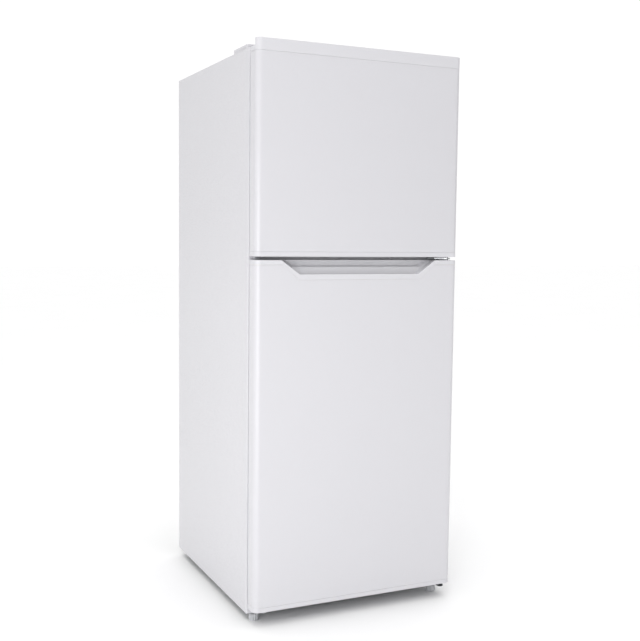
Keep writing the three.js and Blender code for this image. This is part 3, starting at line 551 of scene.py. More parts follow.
def pin_hole(low, high):
    return lathe([(PIN_HOLE, low), (PIN_HOLE, high)], (HINGE.x, HINGE.y, 0))


LINER_HALF = 284.7  # half width of the inner panel, which the skin's folded edges meet
SKIN_FOLD = 2  # outer radius of those folds


def door_skin(low, high):
    """A steel sheet bent round the door's front and sides, with its edges folded in at the back."""
    def face(depth):
        x, y, back = HALF - SKIN_IN - depth, FRONT + SKIN_IN + depth, DOOR_BACK - depth
        corner, fold = DOOR_CORNER - SKIN_IN - depth, SKIN_FOLD - depth
        points = [(LINER_HALF, back), (x, back), (x, y), (-x, y), (-x, back), (-LINER_HALF, back)]
        return fillet(points, [0, fold, corner, corner, fold, 0], 12, closed=False)

    return prism("z", [*face(0), *reversed(face(SHEET))], low, high)


# The handle: a trapezoid tray let into the fridge door's top edge
TRAY = {"top": 235, "bottom": 178, "low": 901.5, "depth": 33, "corner": 7}
HOLLOW = {"top": 226, "bottom": 174, "lip": 915.5, "dip": 906, "rise": 29, "back": 31, "front": 3.5}
HANDLE_TOP = CAP_HIGH.z
TRAY_SEAM = 0.15
LIP_DROP = 1.5  # how far the lip's round edge falls towards the groove
GROOVE = (8, 12)  # depths between which the groove's floor is level
LEDGE = 24  # depth at which the slope ends


def tray_outline(margin=0.0):
    """The handle tray from the front, as (x, z), with round lower corners."""
    slope = (TRAY["top"] - TRAY["bottom"]) / (HANDLE_TOP - TRAY["low"])
    high = HANDLE_TOP + margin
    wide = TRAY["top"] + margin + slope * margin
    narrow, low = TRAY["bottom"] + margin, TRAY["low"] - margin
    return fillet(
        [(wide, high), (-wide, high), (-narrow, low), (narrow, low)],
        [0, 0, TRAY["corner"], TRAY["corner"]], 8,
    )


def hollow_floor(depth):
    """The height of the hollow's floor: a lip, a groove for the fingertips, a slope and a ledge."""
    lip, dip, front = HOLLOW["lip"], HOLLOW["dip"], HOLLOW["front"]
    if depth < front:
        return lip - LIP_DROP * (depth / front) ** 2
    if depth < GROOVE[0]:
        return lip - LIP_DROP + (dip - lip + LIP_DROP) * smoothed((depth - front) / (GROOVE[0] - front))
    along = min(max(depth - GROOVE[1], 0) / (LEDGE - GROOVE[1]), 1)
    return dip + HOLLOW["rise"] * (0.35 * along + 0.65 * smoothed(along))


def hollow_ring(depth):
    """The hollow's outline at a depth: its ends curve in towards the back."""
    front, inside = HOLLOW["front"], max(depth, 0)
    flare = front - math.sqrt(max(front ** 2 - (front - depth) ** 2, 0)) if depth < front else 0
    inward = 26 * (1 - math.sqrt(max(1 - (inside / (HOLLOW["back"] + 0.5)) ** 2, 0)))
    floor, over = hollow_floor(depth), 6
    slope = (HOLLOW["top"] - HOLLOW["bottom"]) / (HANDLE_TOP - HOLLOW["lip"])
    above = HANDLE_TOP + over
    wide = HOLLOW["top"] + slope * over + flare - inward
    narrow = HOLLOW["bottom"] - slope * (HOLLOW["lip"] - floor) + flare - inward
    points = [(wide, above), (-wide, above), (-narrow, floor), (narrow, floor)]
    corner = 5 + inside * 0.5
    return [(x, FRONT + depth, z) for x, z in fillet(points, [0, 0, corner, corner], 8)]


def handle_hollow():
    front = [-2, 0, 0.25, 0.6, 1.1, 1.8, 2.6, HOLLOW["front"]]
    groove = [k / 2 for k in range(8, 17)]
    slope = range(GROOVE[1], LEDGE + 1)
    ledge = [LEDGE + (HOLLOW["back"] - LEDGE) * math.sin(a) for a in angles(*range(15, 89, 15))]
    return loft([hollow_ring(depth) for depth in [*front, *groove, *slope, *ledge, HOLLOW["back"]]])


def fridge_top_cap():
    low, high = FRIDGE_HIGH.z + SEAM, CAP_HIGH.z
    tray = prism("y", tray_outline(), FRONT, FRONT + TRAY["depth"])
    body = cut(united(door_slab(low, high), tray), handle_hollow(), pin_hole(low - 5, high + 5))
    return softened(body, 0.7, 3, 38)


def fridge_door_skin():
    skin = door_skin(FRIDGE_LOW.z, FRIDGE_HIGH.z)
    opening = prism("y", tray_outline(TRAY_SEAM), FRONT - 5, FRONT + TRAY["depth"] - 5)
    return softened(cut(skin, opening), 0.12, 2, 50)


def freezer_top_cap():
    """The cap, whose front edge stands up as a lip and wraps round both corners."""
    low, high = span("freezer_door_top_cap")
    ledge = FREEZER_HIGH.z + SEAM + 12
    front = block((-HALF - 1, FRONT - 1, low.z), (HALF + 1, FRONT + 13, high.z + 1))
    lip = combined(door_slab(ledge - 1, high.z), front, "INTERSECT")
    body = cut(united(door_slab(low.z, ledge), lip), pin_hole(low.z - 5, ledge + 5))
    body = softened(body, 2.2, 4, 30, lambda middle: abs(middle.z - high.z) < 0.01)
    return softened(body, 0.25, 2, 50)


POCKET = {"half": 240, "front": 5, "back": 36, "wall": 3}


def freezer_bottom_cap():
    """The cap, with the finger pocket that opens it from below."""
    low, high = span("freezer_door_bottom_cap")
    half, wall = POCKET["half"], POCKET["wall"]
    front, back = FRONT + POCKET["front"], FRONT + POCKET["back"]
    housing = block((-half, front, low.z + 8), (half, back, high.z))
    body = united(door_slab(low.z, low.z + 12), housing)
    corner = (-half + wall, front + 2 * wall), (half - wall, back - wall)
    top = high.z - wall
    profile = [(-4, low.z - 3, 8), (-4, low.z, 8), (-2.6, low.z + 0.6, 7), (-1.2, low.z + 1.5, 6)]
    profile += [(0, low.z + 4, 5), (0, top - 7, 5)]
    profile += [(7 - x, top - 7 + z, 2) for x, z in arc((0, 0), 7, 15, 90, 5)]
    body = cut(body, loft(rings_of("z", *corner, profile)), pin_hole(low.z - 5, low.z + 17))
    return softened(body, 0.7, 3, 38)


def gasket(low, high):
    """A magnetic seal with bellows on its outer side, joined at square corners."""
    section = [
        (1.5, 0), (0.2, 1), (3.6, 2.4), (0.2, 3.8), (3.6, 5.2), (0.6, 6.6), (0.2, 8.6), (1.2, 9.4),
        (15, 9.4), (16.2, 8.8), (16.6, 6.6), (13.4, 5.2), (15.6, 3.6), (13.8, 2), (17, 0.8), (16, 0),
    ]
    scale = (high.y - low.y) / 9.4
    rings = []
    for inset, along in section:
        outline = rectangle((low.x, low.z), (high.x, high.z), inset, 2.5, 3)
        rings.append([(x, low.y + along * scale, z) for x, z in outline])
    return loft(rings, cyclic=True)


RIM = {"outer": 238, "inner": 215, "depth": 48, "width": 20}
RIM_CLEAR = 9 + 8 - SEAM  # from the room liner's ends to the rim's


def door_liner(low, high, rim_low, rim_high, hooks):
    """A vacuum-formed inner panel: a flat edge, a raised hollow rim, and hooks for the bins."""
    panel, top, foot, crest = DOOR_BACK, DOOR_BACK + RIM["depth"], 5, 6
    plate = (-LINER_HALF, low.z), (LINER_HALF, high.z)
    outer = (-RIM["outer"], rim_low), (RIM["outer"], rim_high)
    inner = (-RIM["inner"], rim_low + RIM["width"]), (RIM["inner"], rim_high - RIM["width"])
    bend = [(math.sin(a), math.cos(a)) for a in angles(0, 22, 45, 68, 90)]
    rings = rings_of("y", *plate, [(0, panel - LINER, 1), (0, panel, 1)])
    rings += rings_of("y", *outer, [(foot * (s - 1), panel + foot * (1 - c), 22) for s, c in bend])
    rings += rings_of("y", *outer, [(1 + crest * (1 - c), top + crest * (s - 1), 20) for s, c in bend])
    rings += rings_of("y", *inner, [(-crest * s, top + crest * (c - 1), 12) for s, c in reversed(bend)])
    rings += rings_of("y", *inner, [(foot * (1 - c), panel + foot * (1 - s), 10) for s, c in bend])
    body = loft(rings)
    for z in hooks:
        for side in (-1, 1):
            hook = side_block(side, 210, 216, HOOK_Y, (z, z + HOOK_HEIGHT))
            body = united(body, softened(hook, 1.2, 3, 30))
    return body


HOOK_Y = (DOOR_BACK + 16.3, DOOR_BACK + 24)
HOOK_HEIGHT = 29.7
HOOK_UP = 10
FREEZER_BINS = ["freezer_bin_upper", "freezer_bin_lower"]
FRIDGE_BINS = ["fridge_bin_upper", "fridge_bin_middle", "fridge_bin_bottle"]


def door_bin(node):
    """A clear bin with thick ends, a rolled rim, and slots that drop over the hooks."""
    low, high = span(node)
    outer = (low.x, low.y), (high.x, high.y)
    inner = (low.x + 6, low.y + 2.2), (high.x - 6, high.y - 2.2)
    bend = [(math.sin(a), math.cos(a)) for a in angles(*range(90, -1, -18))]
    outside_profile = [(8 * (1 - c), low.z + 8 * (1 - s), 14) for s, c in bend]
    outside_profile += [(0.6, high.z - 9, 14), (0.6, high.z - 8, 14), (0, high.z - 7, 14)]
    outside_profile += [(0, high.z - 1.4, 14), (0.5, high.z - 0.4, 13.5), (1.2, high.z, 13)]
    inside_profile = [(-0.8, high.z, 12), (-0.1, high.z - 0.6, 11.5)]
    inside_profile += [(6 * (1 - c), low.z + 2.5 + 6 * (1 - s), 11.5) for s, c in reversed(bend)]
    body = loft(rings_of("z", *outer, outside_profile) + rings_of("z", *inner, inside_profile))
    y = HOOK_Y[0] - SEAM, HOOK_Y[1] + SEAM
    z = low.z - 5, low.z + HOOK_UP + HOOK_HEIGHT + SEAM
    return cut(body, *[side_block(side, high.x - 3.8, high.x + 1, y, z) for side in (-1, 1)])


def hole_plug():
    """The push-in plug in the unused hinge hole under the fridge door's left corner."""
    bottom = FRIDGE_LOW.z - 12 - SEAM
    profile = [(3.6, 8), (3.6, 0.1), (9, 0.1), (9.6, -0.8), (9.6, -4.6), (8.6, -5.6), (4, -6), (0.3, -6)]
    return lathe(profile, (-HINGE.x + 14, HINGE.y - 6, bottom), sides=40)


def build_doors():
    skin = door_skin(FREEZER_LOW.z, FREEZER_HIGH.z)
    stand_in("freezer_door_skin", softened(skin, 0.12, 2, 50))
    stand_in("fridge_door_skin", fridge_door_skin())
    stand_in("freezer_door_top_cap", freezer_top_cap())
    stand_in("freezer_door_bottom_cap", freezer_bottom_cap())
    stand_in("fridge_door_top_cap", fridge_top_cap())
    low, high = span("fridge_door_bottom_cap")
    bottom = cut(door_slab(low.z, high.z), pin_hole(low.z - 5, high.z + 5))
    bottom = softened(bottom, 1.6, 4, 30, lambda middle: abs(middle.z - low.z) < 0.01)
    bottom = softened(bottom, 0.25, 2, 50, lambda middle: middle.z > low.z + 2)
    stand_in("fridge_door_bottom_cap", bottom)
    for kind, bins in (("freezer", FREEZER_BINS), ("fridge", FRIDGE_BINS)):
        stand_in(f"{kind}_door_gasket", gasket(*span(f"{kind}_door_gasket")))
        keep(f"{kind}_door_foam", edge=0)
        room_low, room_high = span(f"{kind}_liner")
        hooks = [span(node)[0].z + HOOK_UP for node in bins]
        rim = room_low.z + RIM_CLEAR, room_high.z - RIM_CLEAR
        stand_in(f"{kind}_door_liner", door_liner(*span(f"{kind}_door_liner"), *rim, hooks))
        for node in bins:
            stand_in(node, door_bin(node))
    piece("fridge_door_hole_plug", hole_plug(), "fridge_door", "grey_plastic")


# ---- Cabinet outside ----
FOLD = 3.2  # outer radius of a fold in the cabinet's sheets


def bent_sheet(axis, outer, inner, start, end):
    """A sheet with one round fold, from the three points of its outer and its inner face."""
    outer = fillet(outer, [0, FOLD, 0], 8, closed=False)
    inner = fillet(inner, [0, FOLD - SHEET, 0], 8, closed=False)
    return prism(axis, [*outer, *reversed(inner)], start, end)


def side_panel(side):
    """A painted side: one sheet, folded at the front into the flange that the door seals on."""
    def face(depth):
        x, front = side * (HALF - depth), CABINET_FRONT + depth
        return [(side * FLANGE_INNER, front), (x, front), (x, CABINET_BACK)]

    return softened(bent_sheet("z", face(0), face(SHEET), SIDE_LOW.z, SIDE_HIGH.z), 0.4, 2, 50)


def top_panel():
    """The painted top, folded down at the front between the side panels' flanges."""
    low, high = span("top_panel")

    def face(depth):
        front, top = CABINET_FRONT + depth, high.z - depth
        return [(CABINET_BACK, top), (front, top), (front, low.z)]

    sheet = bent_sheet("x", face(0), face(SHEET), low.x + SEAM, high.x - SEAM)
    y, z = (CABINET_FRONT - 5, CABINET_FRONT + SHEET + SEAM), (low.z - 5, high.z + 5)
    notches = [side_block(side, FLANGE_INNER - SEAM, HALF + 5, y, z) for side in (-1, 1)]
    return softened(cut(sheet, *notches), 0.35, 2, 50)


def pressed_sheet(low, high, outward, fields):
    """A sheet with raised fields. fields holds (x0, x1, z0, z1, height, slope width) entries."""
    steps = 5
    lines = ([low.x, high.x], [low.z, high.z])
    for x0, x1, z0, z1, _, slope in fields:
        for axis, (start, end) in enumerate(((x0, x1), (z0, z1))):
            lines[axis].extend(start + slope * k / steps for k in range(steps + 1))
            lines[axis].extend(end - slope * k / steps for k in range(steps + 1))
    xs, zs = (sorted({round(value, 3) for value in axis}) for axis in lines)

    def rise(x, z):
        best = 0.0
        for x0, x1, z0, z1, height, slope in fields:
            near = min(x - x0, x1 - x, z - z0, z1 - z) / slope
            value = height * smoothed(min(max(near, 0), 1))
            best = value if abs(value) > abs(best) else best
        return best

    bm = bmesh.new()
    grids = []
    for back in (0, SHEET):
        grids.append([
            [bm.verts.new((x, outward - back + rise(x, z), z)) for z in zs] for x in xs
        ])
    for grid in grids:
        for a, b in zip(grid, grid[1:]):
            for i in range(len(zs) - 1):
                bm.faces.new((a[i], b[i], b[i + 1], a[i + 1]))
    front, back = grids
    rims = [
        (front[0], back[0]), (front[-1], back[-1]),
        ([line[0] for line in front], [line[0] for line in back]),
        ([line[-1] for line in front], [line[-1] for line in back]),
    ]
    for near, far in rims:
        for i in range(len(near) - 1):
            bm.faces.new((near[i], near[i + 1], far[i + 1], far[i]))
    bmesh.ops.recalc_face_normals(bm, faces=bm.faces)
    return bm


def rear_panel():
    """A pressed steel back: two raised fields with a bead between them, and a rib at each side."""
    low, high = span("rear_panel")
    fields = [
        (-170, 170, 330, 800, 2.5, 9), (-170, 170, 900, 1430, 2.5, 9),
        (-250, -195, 330, 1300, 1.6, 6), (195, 250, 330, 1300, 1.6, 6),
        (-240, 240, 838, 862, 2.0, 7),
    ]
    return pressed_sheet(low, high, high.y, fields)


def cover_lid(node):
    """A shallow plastic cover, from its CAD shape with round upper edges."""
    low, high = span(node)

    def upright(middle):
        return low.z + 4 < middle.z < high.z - 4 and outside(middle, low, high)

    lid = softened(from_node(node), 3.5, 4, 60, upright)
    return softened(lid, 4, 5, 30, lambda middle: abs(middle.z - high.z) < 0.01)


def outside(middle, low, high):
    """True if a point is at an outer upright edge of a box."""
    near_x = min(middle.x - low.x, high.x - middle.x) < 0.2
    near_y = min(middle.y - low.y, high.y - middle.y) < 0.2
    return near_x and near_y


def waved(waves, depth, power=1.0):
    """A radius shape for lathe, with grooves all round."""
    return lambda angle: 1 - depth * (0.5 - 0.5 * math.cos(waves * angle)) ** power


def thread(centre, low, high):
    """A threaded stem, as rings whose crest turns with their height."""
    pitch, crest, root, sides = 1.25, 3.8, 3.2, 24
    rings = []
    for k in range(int((high - low + 0.5) / pitch * 6) + 1):
        z = low + k * pitch / 6
        ring = []
        for i in range(sides):
            reach = root + (crest - root) * (1 - abs(2 * ((z / pitch - i / sides) % 1) - 1))
            angle = 2 * math.pi * i / sides
            place = centre.x + reach * math.cos(angle), centre.y + reach * math.sin(angle)
            ring.append((*place, min(z, high)))
        rings.append(ring)
    return loft(rings)


def ribbed_foot(node):
    """A levelling foot: a knob with finger ribs on a threaded stem."""
    centre, radius, ribs, knob_top = middle_of(node), 12.9, 12, 20
    profile = [
        (9.5, 0), (11.2, 0), (12.3, 0.8), (radius, 2.2), (radius, 15.5), (12.5, 17.2), (11, 18.6),
        (8, 19.4), (6.2, knob_top), (3.6, knob_top),
    ]
    knob = lathe(profile, (centre.x, centre.y, 0), sides=ribs * 8, shape=waved(ribs, 0.11, 0.6))
    return joined(knob, thread(centre, knob_top - 0.5, span(node)[1].z))


def rear_screws():
    """Screws along the rear panel's edges."""
    low, high = span("rear_panel")
    heights = [low.z + 20 + k * (high.z - low.z - 40) / 6 for k in range(7)]
    offsets = [(side * (high.x - 9), 0, z) for side in (-1, 1) for z in heights]
    offsets += [(x, 0, high.z - 10) for x in (-150, 0, 150)]
    return copies(screw((0, high.y, 0), "y", 1, 3.8), offsets)


def mullion_plugs():
    """Plugs in the mullion's unused hinge holes: two plain ones, and one with ridges."""
    middle = middle_of("mullion_rail").z
    profile = [(2.2, 2.5), (2.2, 0), (5.6, 0), (6, -0.5), (5.2, -1.6), (3, -2.1), (0.2, -2.2)]
    plain = lathe(profile, (0, CABINET_FRONT, 0), "y", 24)
    plugs = copies(plain, [(x, 0, middle) for x in (-256, 120)])
    piece("mullion_hole_plugs", plugs, "cabinet", "white_plastic")
    profile = [(2.2, 2.5), (2.2, 0), (9, 0), (9.4, -0.6), (9.4, -5), (8.6, -5.8), (0.2, -6)]
    ridged = lathe(profile, (-273, CABINET_FRONT, middle), "y", 112, waved(14, 0.1))
    piece("mullion_ridged_plug", ridged, "cabinet", "grey_plastic")


def build_cabinet():
    stand_in("left_side_panel", side_panel(-1))
    stand_in("right_side_panel", side_panel(1))
    stand_in("top_panel", top_panel())
    stand_in("rear_panel", rear_panel())
    keep("bottom_panel", 0.3)
    keep("mullion_rail", 0.3)
    keep("cabinet_foam", 0)
    for side in ("left", "right"):
        stand_in(f"rear_spacer_{side}", softened(from_node(f"rear_spacer_{side}"), 2.2, 4, 30))
        stand_in(f"front_foot_{side}", ribbed_foot(f"front_foot_{side}"))
    piece("rear_panel_screws", rear_screws(), "cabinet", "plated_steel")
    mullion_plugs()


# ---- Hinges ----
def bracket_screws(name, bracket, xs, below):
    """Screws through a bracket's upright part, at a distance below its top."""
    high = span(bracket)[1]
    base = screw((0, high.y - 2.7, high.z - below), "y", -1, 3.2)
    piece(name, copies(base, [(x, 0, 0) for x in xs]), "cabinet", "plated_steel")


def build_hinges():
    stand_in("top_hinge_cover", cover_lid("top_hinge_cover"))
    stand_in("hinge_hole_cover", cover_lid("hinge_hole_cover"))
    keep("top_hinge_plate", 0.5)
    for node in ("top_hinge_pin", "middle_hinge_pin", "bottom_hinge_pin"):
        low, high = span(node)
        stand_in(node, rod("z", (HINGE.x, HINGE.y, 0), (high.x - low.x) / 2, low.z, high.z, 0.8, 48))
    keep("middle_hinge_bracket", 0.7, 3)
    keep("bottom_hinge_bracket", 0.7, 3)
    bracket_screws("middle_hinge_screws", "middle_hinge_bracket", (236, 260), 3.5)
    bracket_screws("bottom_hinge_screws", "bottom_hinge_bracket", (259, 282), 3.8)
    base = screw((0, 0, span("top_hinge_plate")[1].z), "z", 1, 3.6)
    screws = copies(base, [(227, -205, 0), (248, -205, 0), (227, -243, 0)])
    piece("top_hinge_screws", screws, "cabinet", "plated_steel")


# ---- Rooms ----
ROOM_HALF = 247
ROOM_CORNER = 20
LINER_LIP = 7.7  # width of a liner's front rim


def room_ring(y, inset, low, high, radius):
    return rings_of("y", (-ROOM_HALF, low), (ROOM_HALF, high), [(inset, y, radius)])[0]


def liner_front(floor, ceiling):
    """The rings of a liner's front edge, from its wall out to its rim and round to the foam side."""
    profile = [
        (LINER - 4 * (1 - math.cos(a)), CABINET_FRONT + 4 * (1 - math.sin(a)), ROOM_CORNER)
        for a in angles(0, 22, 45, 68, 90)
    ]
    behind = CABINET_FRONT + SHEET
    profile += [(-LINER_LIP, CABINET_FRONT, 1.5), (-LINER_LIP, behind, 1.5), (0, behind, 12)]
    return rings_of("y", (-ROOM_HALF, floor), (ROOM_HALF, ceiling), profile)


def liner_back(y, floor, ceiling):
    """The rings of a liner's round back edges, from the middle of the back wall to the side walls."""
    size = 14
    profile = [
        (LINER + size * (1 - math.sin(a)), y - size * (1 - math.cos(a)), ROOM_CORNER)
        for a in angles(*range(0, 91, 18))
    ]
    return rings_of("y", (-ROOM_HALF, floor), (ROOM_HALF, ceiling), profile)


def with_ledges(body, shelf_nodes):
    """Shelf supports on both walls, with round ends."""
    wall, width, height = ROOM_HALF - LINER, 12, 8
    for node in shelf_nodes:
        low, high = span(node)
        z = low.z - SEAM - height, low.z - SEAM
        for side in (-1, 1):
            ledge = side_block(side, wall - width, wall + 0.7, (low.y, high.y), z)
            body = united(body, softened(ledge, 2.4, 3, 30))
    return body


def freezer_liner():
    low, high = span("freezer_liner")
    floor, ceiling = low.z + LINER_LIP, high.z - LINER_LIP
    rings = liner_back(high.y - LINER, floor, ceiling) + liner_front(floor, ceiling)
    rings.append(room_ring(high.y, 0, floor, ceiling, 12))
    return with_ledges(loft(rings), ["freezer_shelf"])


STEP = {"face": 73.5, "top": 300.75, "rise": 380.0, "bend": 14, "nose": 4}


def fridge_liner():
    """The fridge's liner, whose floor steps up over the machine space and slopes to the back."""
    low, high = span("fridge_liner")
    floor, ceiling = low.z + LINER_LIP, high.z - LINER_LIP
    back = high.y - LINER
    path = fillet(
        [(CABINET_FRONT + 8, floor), (STEP["face"], floor), (STEP["face"], STEP["top"] - LINER),
         (back - 16, STEP["rise"] - 8)],
        [0, STEP["bend"], STEP["nose"], 0], 7, closed=False,
    )
    rings = liner_back(back, STEP["rise"] - LINER, ceiling)
    rings += [room_ring(y, LINER, z, ceiling, ROOM_CORNER) for y, z in reversed(path)]
    rings += liner_front(floor, ceiling)
    face, top = STEP["face"] + LINER, STEP["top"] - 2 * LINER
    outer = [(CABINET_FRONT + 8, floor), (face, floor), (face, top), (high.y, STEP["rise"] - 2 * LINER)]
    rings += [room_ring(y, 0, z, ceiling, ROOM_CORNER) for y, z in outer]
    nodes = ["fridge_shelf_upper", "fridge_shelf_lower", "crisper_cover"]
    return with_ledges(loft(rings), nodes)


def shelf_trims(node):
    """The plastic edges of a glass shelf: a channel over its front, and a raised rail behind."""
    low, high = span(node)
    front, inside, back = low.y - 3, low.y - 0.3, low.y + 11
    channel = fillet(
        [(front, low.z - 2), (back, low.z - 2), (back, low.z - 0.2), (inside, low.z - 0.2),
         (inside, high.z + 0.2), (back, high.z + 0.2), (back, high.z + 1.8), (front, high.z + 1.8)],
        [2.2, 0.6, 0.4, 0.3, 0.3, 0.4, 0.6, 2.2], 4,
    )
    channel = prism("x", channel, low.x + 1, high.x - 1)
    y, z = (low.y - 0.35, low.y + 20), (low.z - 5, low.z - 0.1)
    for side in (-1, 1):
        channel = cut(channel, side_block(side, ROOM_HALF - LINER - 13, ROOM_HALF, y, z))
    bottom, top = high.z + 0.2, high.z + 11
    rail = fillet(
        [(high.y - 10, bottom), (high.y, bottom), (high.y, top), (high.y - 2.5, top),
         (high.y - 2.5, high.z + 2), (high.y - 10, high.z + 2)],
        [0.5, 0.3, 1.1, 1.1, 2, 0.6], 4,
    )
    rail = prism("x", rail, low.x + 12, high.x - 12)
    piece(node + "_front_trim", softened(channel, 0.3, 2, 60), "cabinet", "white_plastic")
    piece(node + "_rear_trim", softened(rail, 0.3, 2, 60), "cabinet", "white_plastic")


def crisper():
    """The vegetable drawer: round corners, a rolled rim, and a grip lip along its front."""
    low, high = span("crisper_drawer")
    front = -133
    bend = [(math.sin(a), math.cos(a)) for a in angles(90, 70, 45, 20, 0)]
    profile = [(4 + 9 * (1 - c), low.z + 9 * (1 - s), 10) for s, c in bend]
    profile += [(1.5, high.z - 8, 10), (0, high.z - 7, 10), (0, high.z - 1, 10), (0.8, high.z, 10)]
    profile += [(2.6, high.z, 9), (3.4, high.z - 1, 9), (4.2, high.z - 8, 9)]
    profile += [(6.5 + 7 * (1 - c), low.z + 2.5 + 7 * (1 - s), 8) for s, c in reversed(bend)]
    body = loft(rings_of("z", (low.x, front), (high.x, high.y), profile))
    face, top, under = low.y + 0.2, high.z - 18, high.z - 22
    lip = fillet(
        [(front + 2.5, under), (front + 2.5, top), (face, top), (face, high.z - 30),
         (face + 2.4, high.z - 30), (face + 2.4, under)],
        [0, 0, 2.2, 1.1, 1.1, 3], 5,
    )
    return united(body, softened(prism("x", lip, -188, 188), 0.5, 2, 60))


def control_housing():
    """The control box under the fridge's ceiling, with round edges, vents and openings."""
    low, high = span("control_housing")
    wall = 2

    def lower(middle):
        return middle.z < high.z - 5

    def opening(first, second):
        return block((*first, low.z - 5), (*second, low.z + 5))

    shell = softened(block(low, high), 7, 6, 30, lower)
    inner_low = low.x + wall, low.y + wall, low.z + wall
    inner_high = high.x - wall, high.y - wall, high.z + 5
    shell = cut(shell, softened(block(inner_low, inner_high), 4, 4, 30, lower))
    for node in ("thermostat_knob", "light_switch_plunger"):
        centre = middle_of(node)
        profile = [(PIN_HOLE, low.y - 5), (PIN_HOLE, low.y + 5)]
        shell = cut(shell, lathe(profile, (centre.x, 0, centre.z), "y"))
    lamp_low, lamp_high = span("lamp_cover")
    shell = cut(shell, opening((lamp_low.x + 8, lamp_low.y + 8), (lamp_high.x - 8, lamp_high.y - 8)))
    for k in range(7):
        y = low.y + 34 + k * 9
        shell = cut(shell, softened(opening((50, y), (150, y + 4)), 1.9, 4, 60))
    return softened(shell, 0.4, 2, 60)


def knob_dial():
    """Raised marks round the knob's upper side, growing from low to high."""
    centre = middle_of("thermostat_knob")
    centre.y = span("control_housing")[0].y
    marks = []
    for k in range(7):
        half = 0.7 + 0.15 * k
        mark = block((-half, -0.5, 17.5), (half, 0.2, 20.5 + 0.25 * k))
        mark.transform(Matrix.Rotation(math.radians(-60 + 20 * k), 4, "Y"))
        marks.append(moved(mark, centre))
    return joined(*marks)


def fluted_knob():
    """A knob with a fluted skirt and a raised grip across it."""
    low, high = span("thermostat_knob")
    centre = middle_of("thermostat_knob")
    centre.y = 0
    back, flutes = high.y - 14 - SEAM, 24
    profile = [(15, 0), (16, -0.8), (16, -4), (15.2, -5), (12, -5.6), (0.3, -5.8)]
    profile = [(radius, back + height) for radius, height in profile]
    skirt = lathe(profile, centre, "y", flutes * 6, waved(flutes, 0.045, 0.7))
    shaft = rod("y", centre, 4, back - 1, high.y, 0.5, 32)
    ridge = block((centre.x - 3.5, low.y, centre.z - 13.6), (centre.x + 3.5, back - 4, centre.z + 13.6))
    return united(skirt, shaft, softened(ridge, 1.5, 4, 30))


def ribbed_lamp_cover():
    """A clear cover with a row of prisms underneath."""
    low, high = span("lamp_cover")
    pitch = (high.y - low.y - 8) / 14
    teeth = []
    for k in range(14):
        y = low.y + 4 + k * pitch
        teeth += [(y, low.z + 1.1), (y + pitch / 2, low.z)]
    under = [(low.y, high.z), (low.y, low.z + 3), (low.y + 2, low.z + 1.1), *teeth,
             (high.y - 4, low.z + 1.1), (high.y - 2, low.z + 1.1), (high.y, low.z + 3), (high.y, high.z)]
    over = [(high.y - 2, high.z), (high.y - 2, low.z + 3.4), (high.y - 3.5, low.z + 2.6),
            (low.y + 3.5, low.z + 2.6), (low.y + 2, low.z + 3.4), (low.y + 2, high.z)]
    body = prism("x", under + over, low.x + 2, high.x - 2)
    ends = [
        softened(block((x, low.y, low.z + 0.6), (x + 2.1, high.y, high.z)), 0.7, 3, 30)
        for x in (low.x, high.x - 2.1)
    ]
    return joined(body, *ends)


def lamp():
    """A small tubular lamp in its holder, behind the cover."""
    middle = middle_of("lamp_cover")
    centre = (middle.x, middle.y, span("lamp_cover")[1].z + 18)
    glass = [(0.3, -36)] + [(11 * math.sin(a), -26 - 11 * math.cos(a)) for a in angles(*range(12, 91, 13))]
    glass += [(11, 10), (8, 16), (7, 18), (0.3, 18)]
    piece("fridge_lamp", lathe(glass, centre, "x"), "cabinet", "shelf_glass")
    holder = [(0.3, 15), (10, 15), (12, 17), (12, 38), (9, 40), (0.3, 40)]
    piece("fridge_lamp_holder", lathe(holder, centre, "x"), "cabinet", "white_plastic")


def switch_plunger():
    """The light switch's plunger: a round-ended pin with a collar that keeps it in the housing."""
    low, high = span("light_switch_plunger")
    centre = middle_of("light_switch_plunger")
    centre.y = 0
    tip = [(0.3, low.y), (2, low.y + 0.1), (3.4, low.y + 0.9), (4, low.y + 2.5)]
    pin = lathe([*tip, (4, high.y - 0.5), (3.5, high.y), (0.3, high.y)], centre, "y")
    return joined(pin, rod("y", centre, 7, high.y - 22, high.y - 19, 0.4, 32))


def build_rooms():
    stand_in("freezer_liner", freezer_liner())
    stand_in("fridge_liner", fridge_liner())
    for node in ("freezer_shelf", "fridge_shelf_upper", "fridge_shelf_lower", "crisper_cover"):
        keep(node, 0.8, 3)
        shelf_trims(node)
    stand_in("crisper_drawer", crisper())
    stand_in("control_housing", control_housing())
    stand_in("thermostat_knob", fluted_knob())
    piece("thermostat_dial_marks", knob_dial(), "cabinet", "grey_plastic")
    stand_in("lamp_cover", ribbed_lamp_cover())
    lamp()
    stand_in("light_switch_plunger", switch_plunger())
    keep("air_duct", 1.2, 3)
    keep("evaporator_cover", 0.8, 3)
    keep("evaporator", 0)
    keep("fan_motor", 0.5)
    keep("fan_blade", 0.3)


# ---- Machine space ----
PIPE_TOP = 269  # where the pipes go up into the foam
PIPE = [
    (-40, 222, 142), (-10, 226, 146), (60, 236, 150), (170, 236, 150),
    (250, 240, 152), (278, 244, 176), (280, 246, 236), (280, 246, PIPE_TOP),
]
PIPE_RADIUS = 3.2
COMPRESSOR = {"x": -120, "y": 222, "radius": 78, "bottom": 36, "seam": 111, "top": 190}


